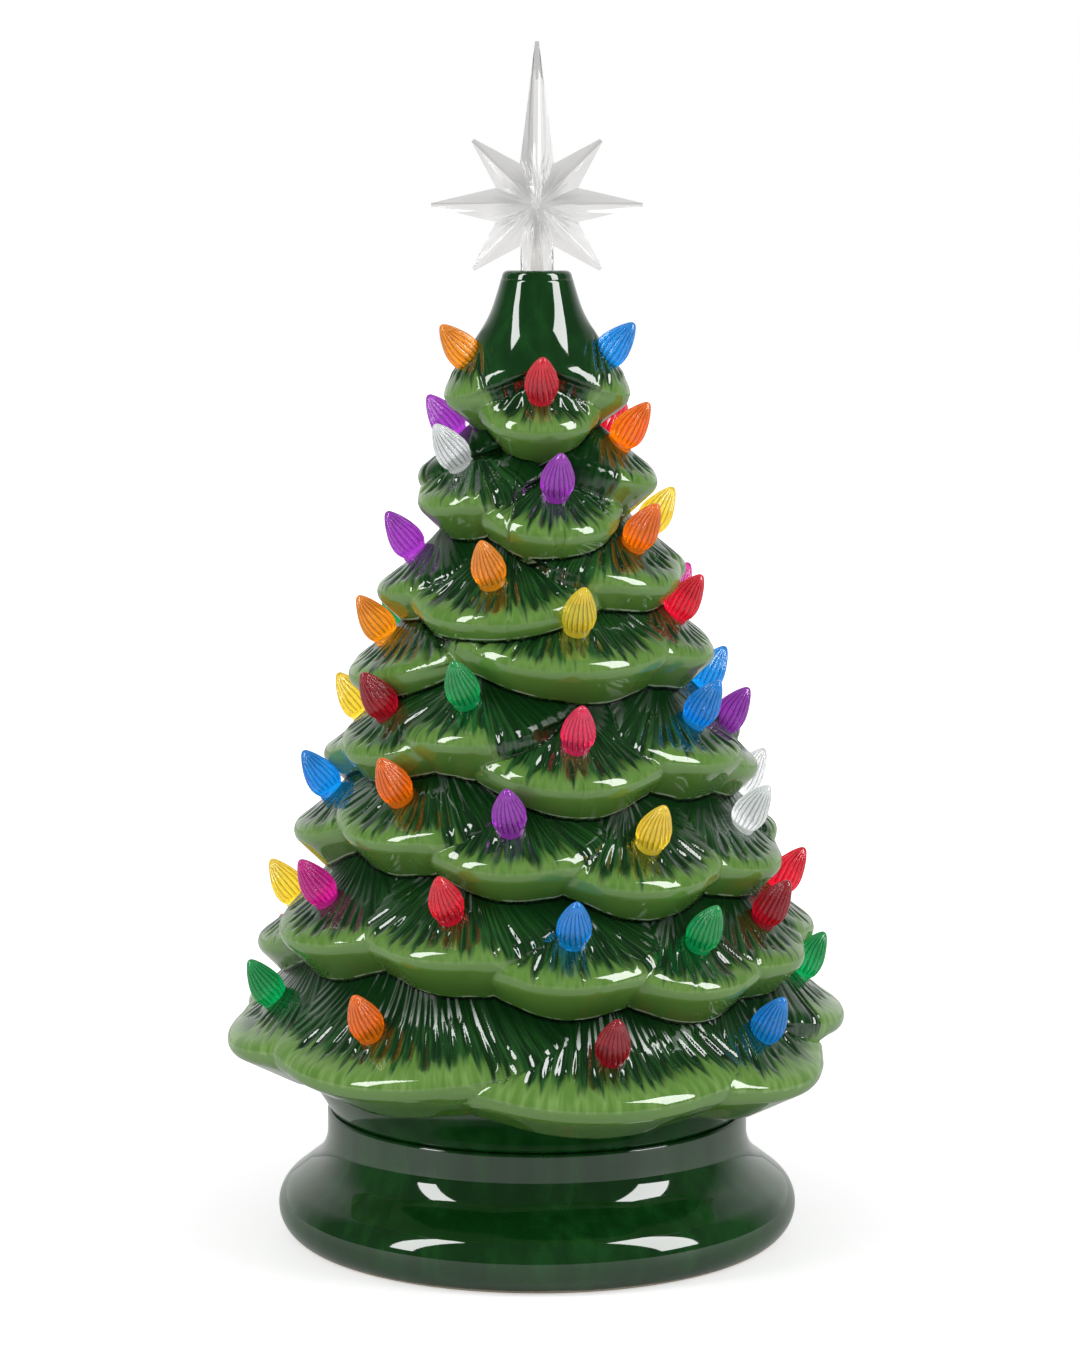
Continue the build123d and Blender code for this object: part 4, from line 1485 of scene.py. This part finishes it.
    def cells(self) -> None:
        """Model the three cells once and lay a copy in each place."""
        radius, length, button = self.cell_radius, self.cell_length, self.button_radius
        outline = rounded([
            (0.0, 0.0, 0.0), (radius - 0.9, 0.0, 0.2), (radius - 0.7, 0.35, 0.2), (radius, 0.35, 0.5),
            (radius, length - 0.3, 0.5), (radius - 1.0, length - 0.3, 0.2),
            (radius - 1.2, length - 0.6, 0.2), (button + 0.3, length - 0.6, 0.3),
            (button, length + self.button_length, 0.5), (0.0, length + self.button_length, 0.0),
        ], 0.8)
        out, up = outline.T
        bare = ((up < 0.34) | (out < radius - 0.95)).astype(float)
        ring = smooth_step(length - self.band_run[0], length - self.band_run[1], up)
        turn = turns_of(self.cell_columns)
        finish = CellFinish().material()
        for name in ("cell_left", "cell_middle", "cell_right"):
            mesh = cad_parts[name].data
            places = np.array([vertex.co for vertex in mesh.vertices], float) / MM
            low, high = places.min(0), places.max(0)
            way = -1.0 if name == "cell_middle" else 1.0
            start = low[0] if way > 0.0 else high[0]
            points = np.stack([
                np.broadcast_to(start + way * up, (self.cell_columns, len(up))),
                (low[1] + high[1]) / 2.0 + way * out * np.sin(turn),
                (low[2] + high[2]) / 2.0 + out * np.cos(turn),
            ], axis=2)
            piece = ring_piece(f"{name}_sleeved", points, bare=bare, ring=ring)
            in_edit_mode(piece, (bpy.ops.mesh.normals_make_consistent, {"inside": False}))
            join_part(piece, name, "cell_wrap", Body.stand, finish)

    def build(self) -> None:
        """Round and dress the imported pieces, and model the thread, the dome and the cells."""
        for name, piece in self.pieces.items():
            copy = softened(name, f"{name}_finished", piece.edge)
            join_part(copy, name, piece.slot, piece.body, piece.finish.material())
        self.thread()
        self.dome()
        self.cells()


@dataclass
class Studio:
    """Camera, lamps, floor and the bright room behind."""

    camera_place: Place = (0.00095, -1.185, 0.330)
    camera_drop: float = 7.17
    lens: float = 99.3
    lamp_power: float = 13.0
    card_level: float = 12.0
    floor_glow: float = 0.25
    foot_glow_reach: float = 0.077

    def camera(self) -> None:
        """Stand the camera where the picture was taken."""
        turn = (math.radians(90.0 - self.camera_drop), 0.0, 0.0)
        bpy.ops.object.camera_add(location=self.camera_place, rotation=turn)
        camera = bpy.context.active_object
        camera.data.lens = self.lens
        camera.data.clip_start, camera.data.clip_end = 0.01, 50.0
        bpy.context.scene.camera = camera

    def lamp(self, name: str, place: Place, width: float, height: float, power: float) -> None:
        """Hang a soft lamp and a card that only reflections see.

        Args:
            name: The lamp's name.
            place: Where it hangs, in metres.
            width: Its width, in metres.
            height: Its height, in metres.
            power: Its power, in watts.
        """
        aim = (Vector((0.0, 0.0, 0.17)) - Vector(place)).to_track_quat("-Z", "Y").to_euler()
        bpy.ops.object.light_add(type="AREA", location=place, rotation=aim)
        lamp = bpy.context.active_object
        lamp.name = f"lamp_{name}"
        lamp.data.shape = "RECTANGLE"
        lamp.data.size, lamp.data.size_y, lamp.data.energy = width, height, power
        lamp.visible_glossy = False
        lamp.visible_transmission = False
        bpy.ops.mesh.primitive_plane_add(size=1.0, location=place, rotation=aim)
        card = bpy.context.active_object
        card.name = f"card_{name}"
        card.scale = (width, height, 1.0)
        card.visible_camera = card.visible_diffuse = card.visible_shadow = False
        board = NodeBoard(f"card_{name}_glow")
        card.data.materials.append(board.surface(
            Base_Color=(0.0, 0.0, 0.0), Specular_IOR_Level=0.0,
            Emission_Color=(1.0, 1.0, 1.0), Emission_Strength=self.card_level,
        ))

    def floor(self) -> None:
        """Lay a white floor that shows its shadow lightly."""
        bpy.ops.mesh.primitive_plane_add(size=14.0)
        floor = bpy.context.active_object
        floor.name = "floor"
        board = NodeBoard("floor_white")
        path = board.tree.nodes.new("ShaderNodeLightPath")
        length = board.tree.nodes.new("ShaderNodeVectorMath")
        length.operation = "LENGTH"
        board.feed(length.inputs[0], board.place())
        away = board.spread(length.outputs["Value"], 0.12, 0.60, 0.45, 1.0)
        within = board.maths("LESS_THAN", length.outputs["Value"], self.foot_glow_reach)
        through, camera = path.outputs["Is Transmission Ray"], path.outputs["Is Camera Ray"]
        seen = board.maths("MULTIPLY_ADD", through, self.floor_glow, camera)
        board.surface(
            Base_Color=(0.78, 0.78, 0.78), Roughness=0.6, Specular_IOR_Level=0.1,
            Emission_Color=(1.0, 1.0, 1.0), Emission_Strength=board.maths("MULTIPLY_ADD", away, seen, within),
        )
        clear = board.tree.nodes.new("ShaderNodeBsdfTransparent")
        choice = board.tree.nodes.new("ShaderNodeMixShader")
        board.feed(choice.inputs[0], board.tree.nodes.new("ShaderNodeNewGeometry").outputs["Backfacing"])
        board.feed(choice.inputs[1], board.shader.outputs[0])
        board.feed(choice.inputs[2], clear.outputs[0])
        board.feed(board.tree.nodes["Material Output"].inputs["Surface"], choice.outputs[0])
        floor.data.materials.append(board.material)

    def room(self) -> None:
        """Fill the room: white for the camera, dim in front and bright behind in reflections."""
        world = bpy.data.worlds.new("room")
        bpy.context.scene.world = world
        world.use_nodes = True
        nodes, links = world.node_tree.nodes, world.node_tree.links
        path, spot = nodes.new("ShaderNodeLightPath"), nodes.new("ShaderNodeTexCoord")
        split, back = nodes.new("ShaderNodeSeparateXYZ"), nodes.new("ShaderNodeMapRange")
        up = nodes.new("ShaderNodeMix")
        links.new(spot.outputs["Generated"], split.inputs[0])
        links.new(split.outputs["Y"], back.inputs[0])
        for index, value in enumerate((0.30, 0.85, 0.10, 0.9), 1):
            back.inputs[index].default_value = value
        up.inputs["A"].default_value = 0.55
        links.new(path.outputs["Is Glossy Ray"], up.inputs["Factor"])
        links.new(back.outputs[0], up.inputs["B"])
        plain = nodes.new("ShaderNodeMath")
        plain.operation = "MAXIMUM"
        seen = nodes.new("ShaderNodeMath")
        seen.operation = "MAXIMUM"
        links.new(path.outputs["Is Camera Ray"], seen.inputs[0])
        links.new(path.outputs["Is Transmission Ray"], seen.inputs[1])
        links.new(seen.outputs[0], plain.inputs[0])
        links.new(up.outputs[0], plain.inputs[1])
        links.new(plain.outputs[0], nodes["Background"].inputs["Strength"])
        nodes["Background"].inputs["Color"].default_value = (1.0, 1.0, 1.0, 1.0)

    def build(self) -> None:
        """Set up the whole studio."""
        bpy.context.scene.view_settings.view_transform = "Standard"
        self.camera()
        self.room()
        self.floor()
        self.lamp("left", (-1.15, -0.66, 1.05), 0.34, 1.5, self.lamp_power)
        self.lamp("right", (1.20, -0.58, 1.05), 0.58, 1.5, self.lamp_power)
        log.info("studio ready")


def main() -> None:
    """Build the pieces in order."""
    logging.basicConfig(level=logging.INFO, format="%(name)s: %(message)s")
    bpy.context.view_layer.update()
    bulbs = BulbString()
    bulbs.find()
    TreeShell().build(bulbs)
    bulbs.build()
    Star().build()
    Stand().build()
    LampUnit().build()
    Studio().build()


if __name__ == "__main__":
    main()
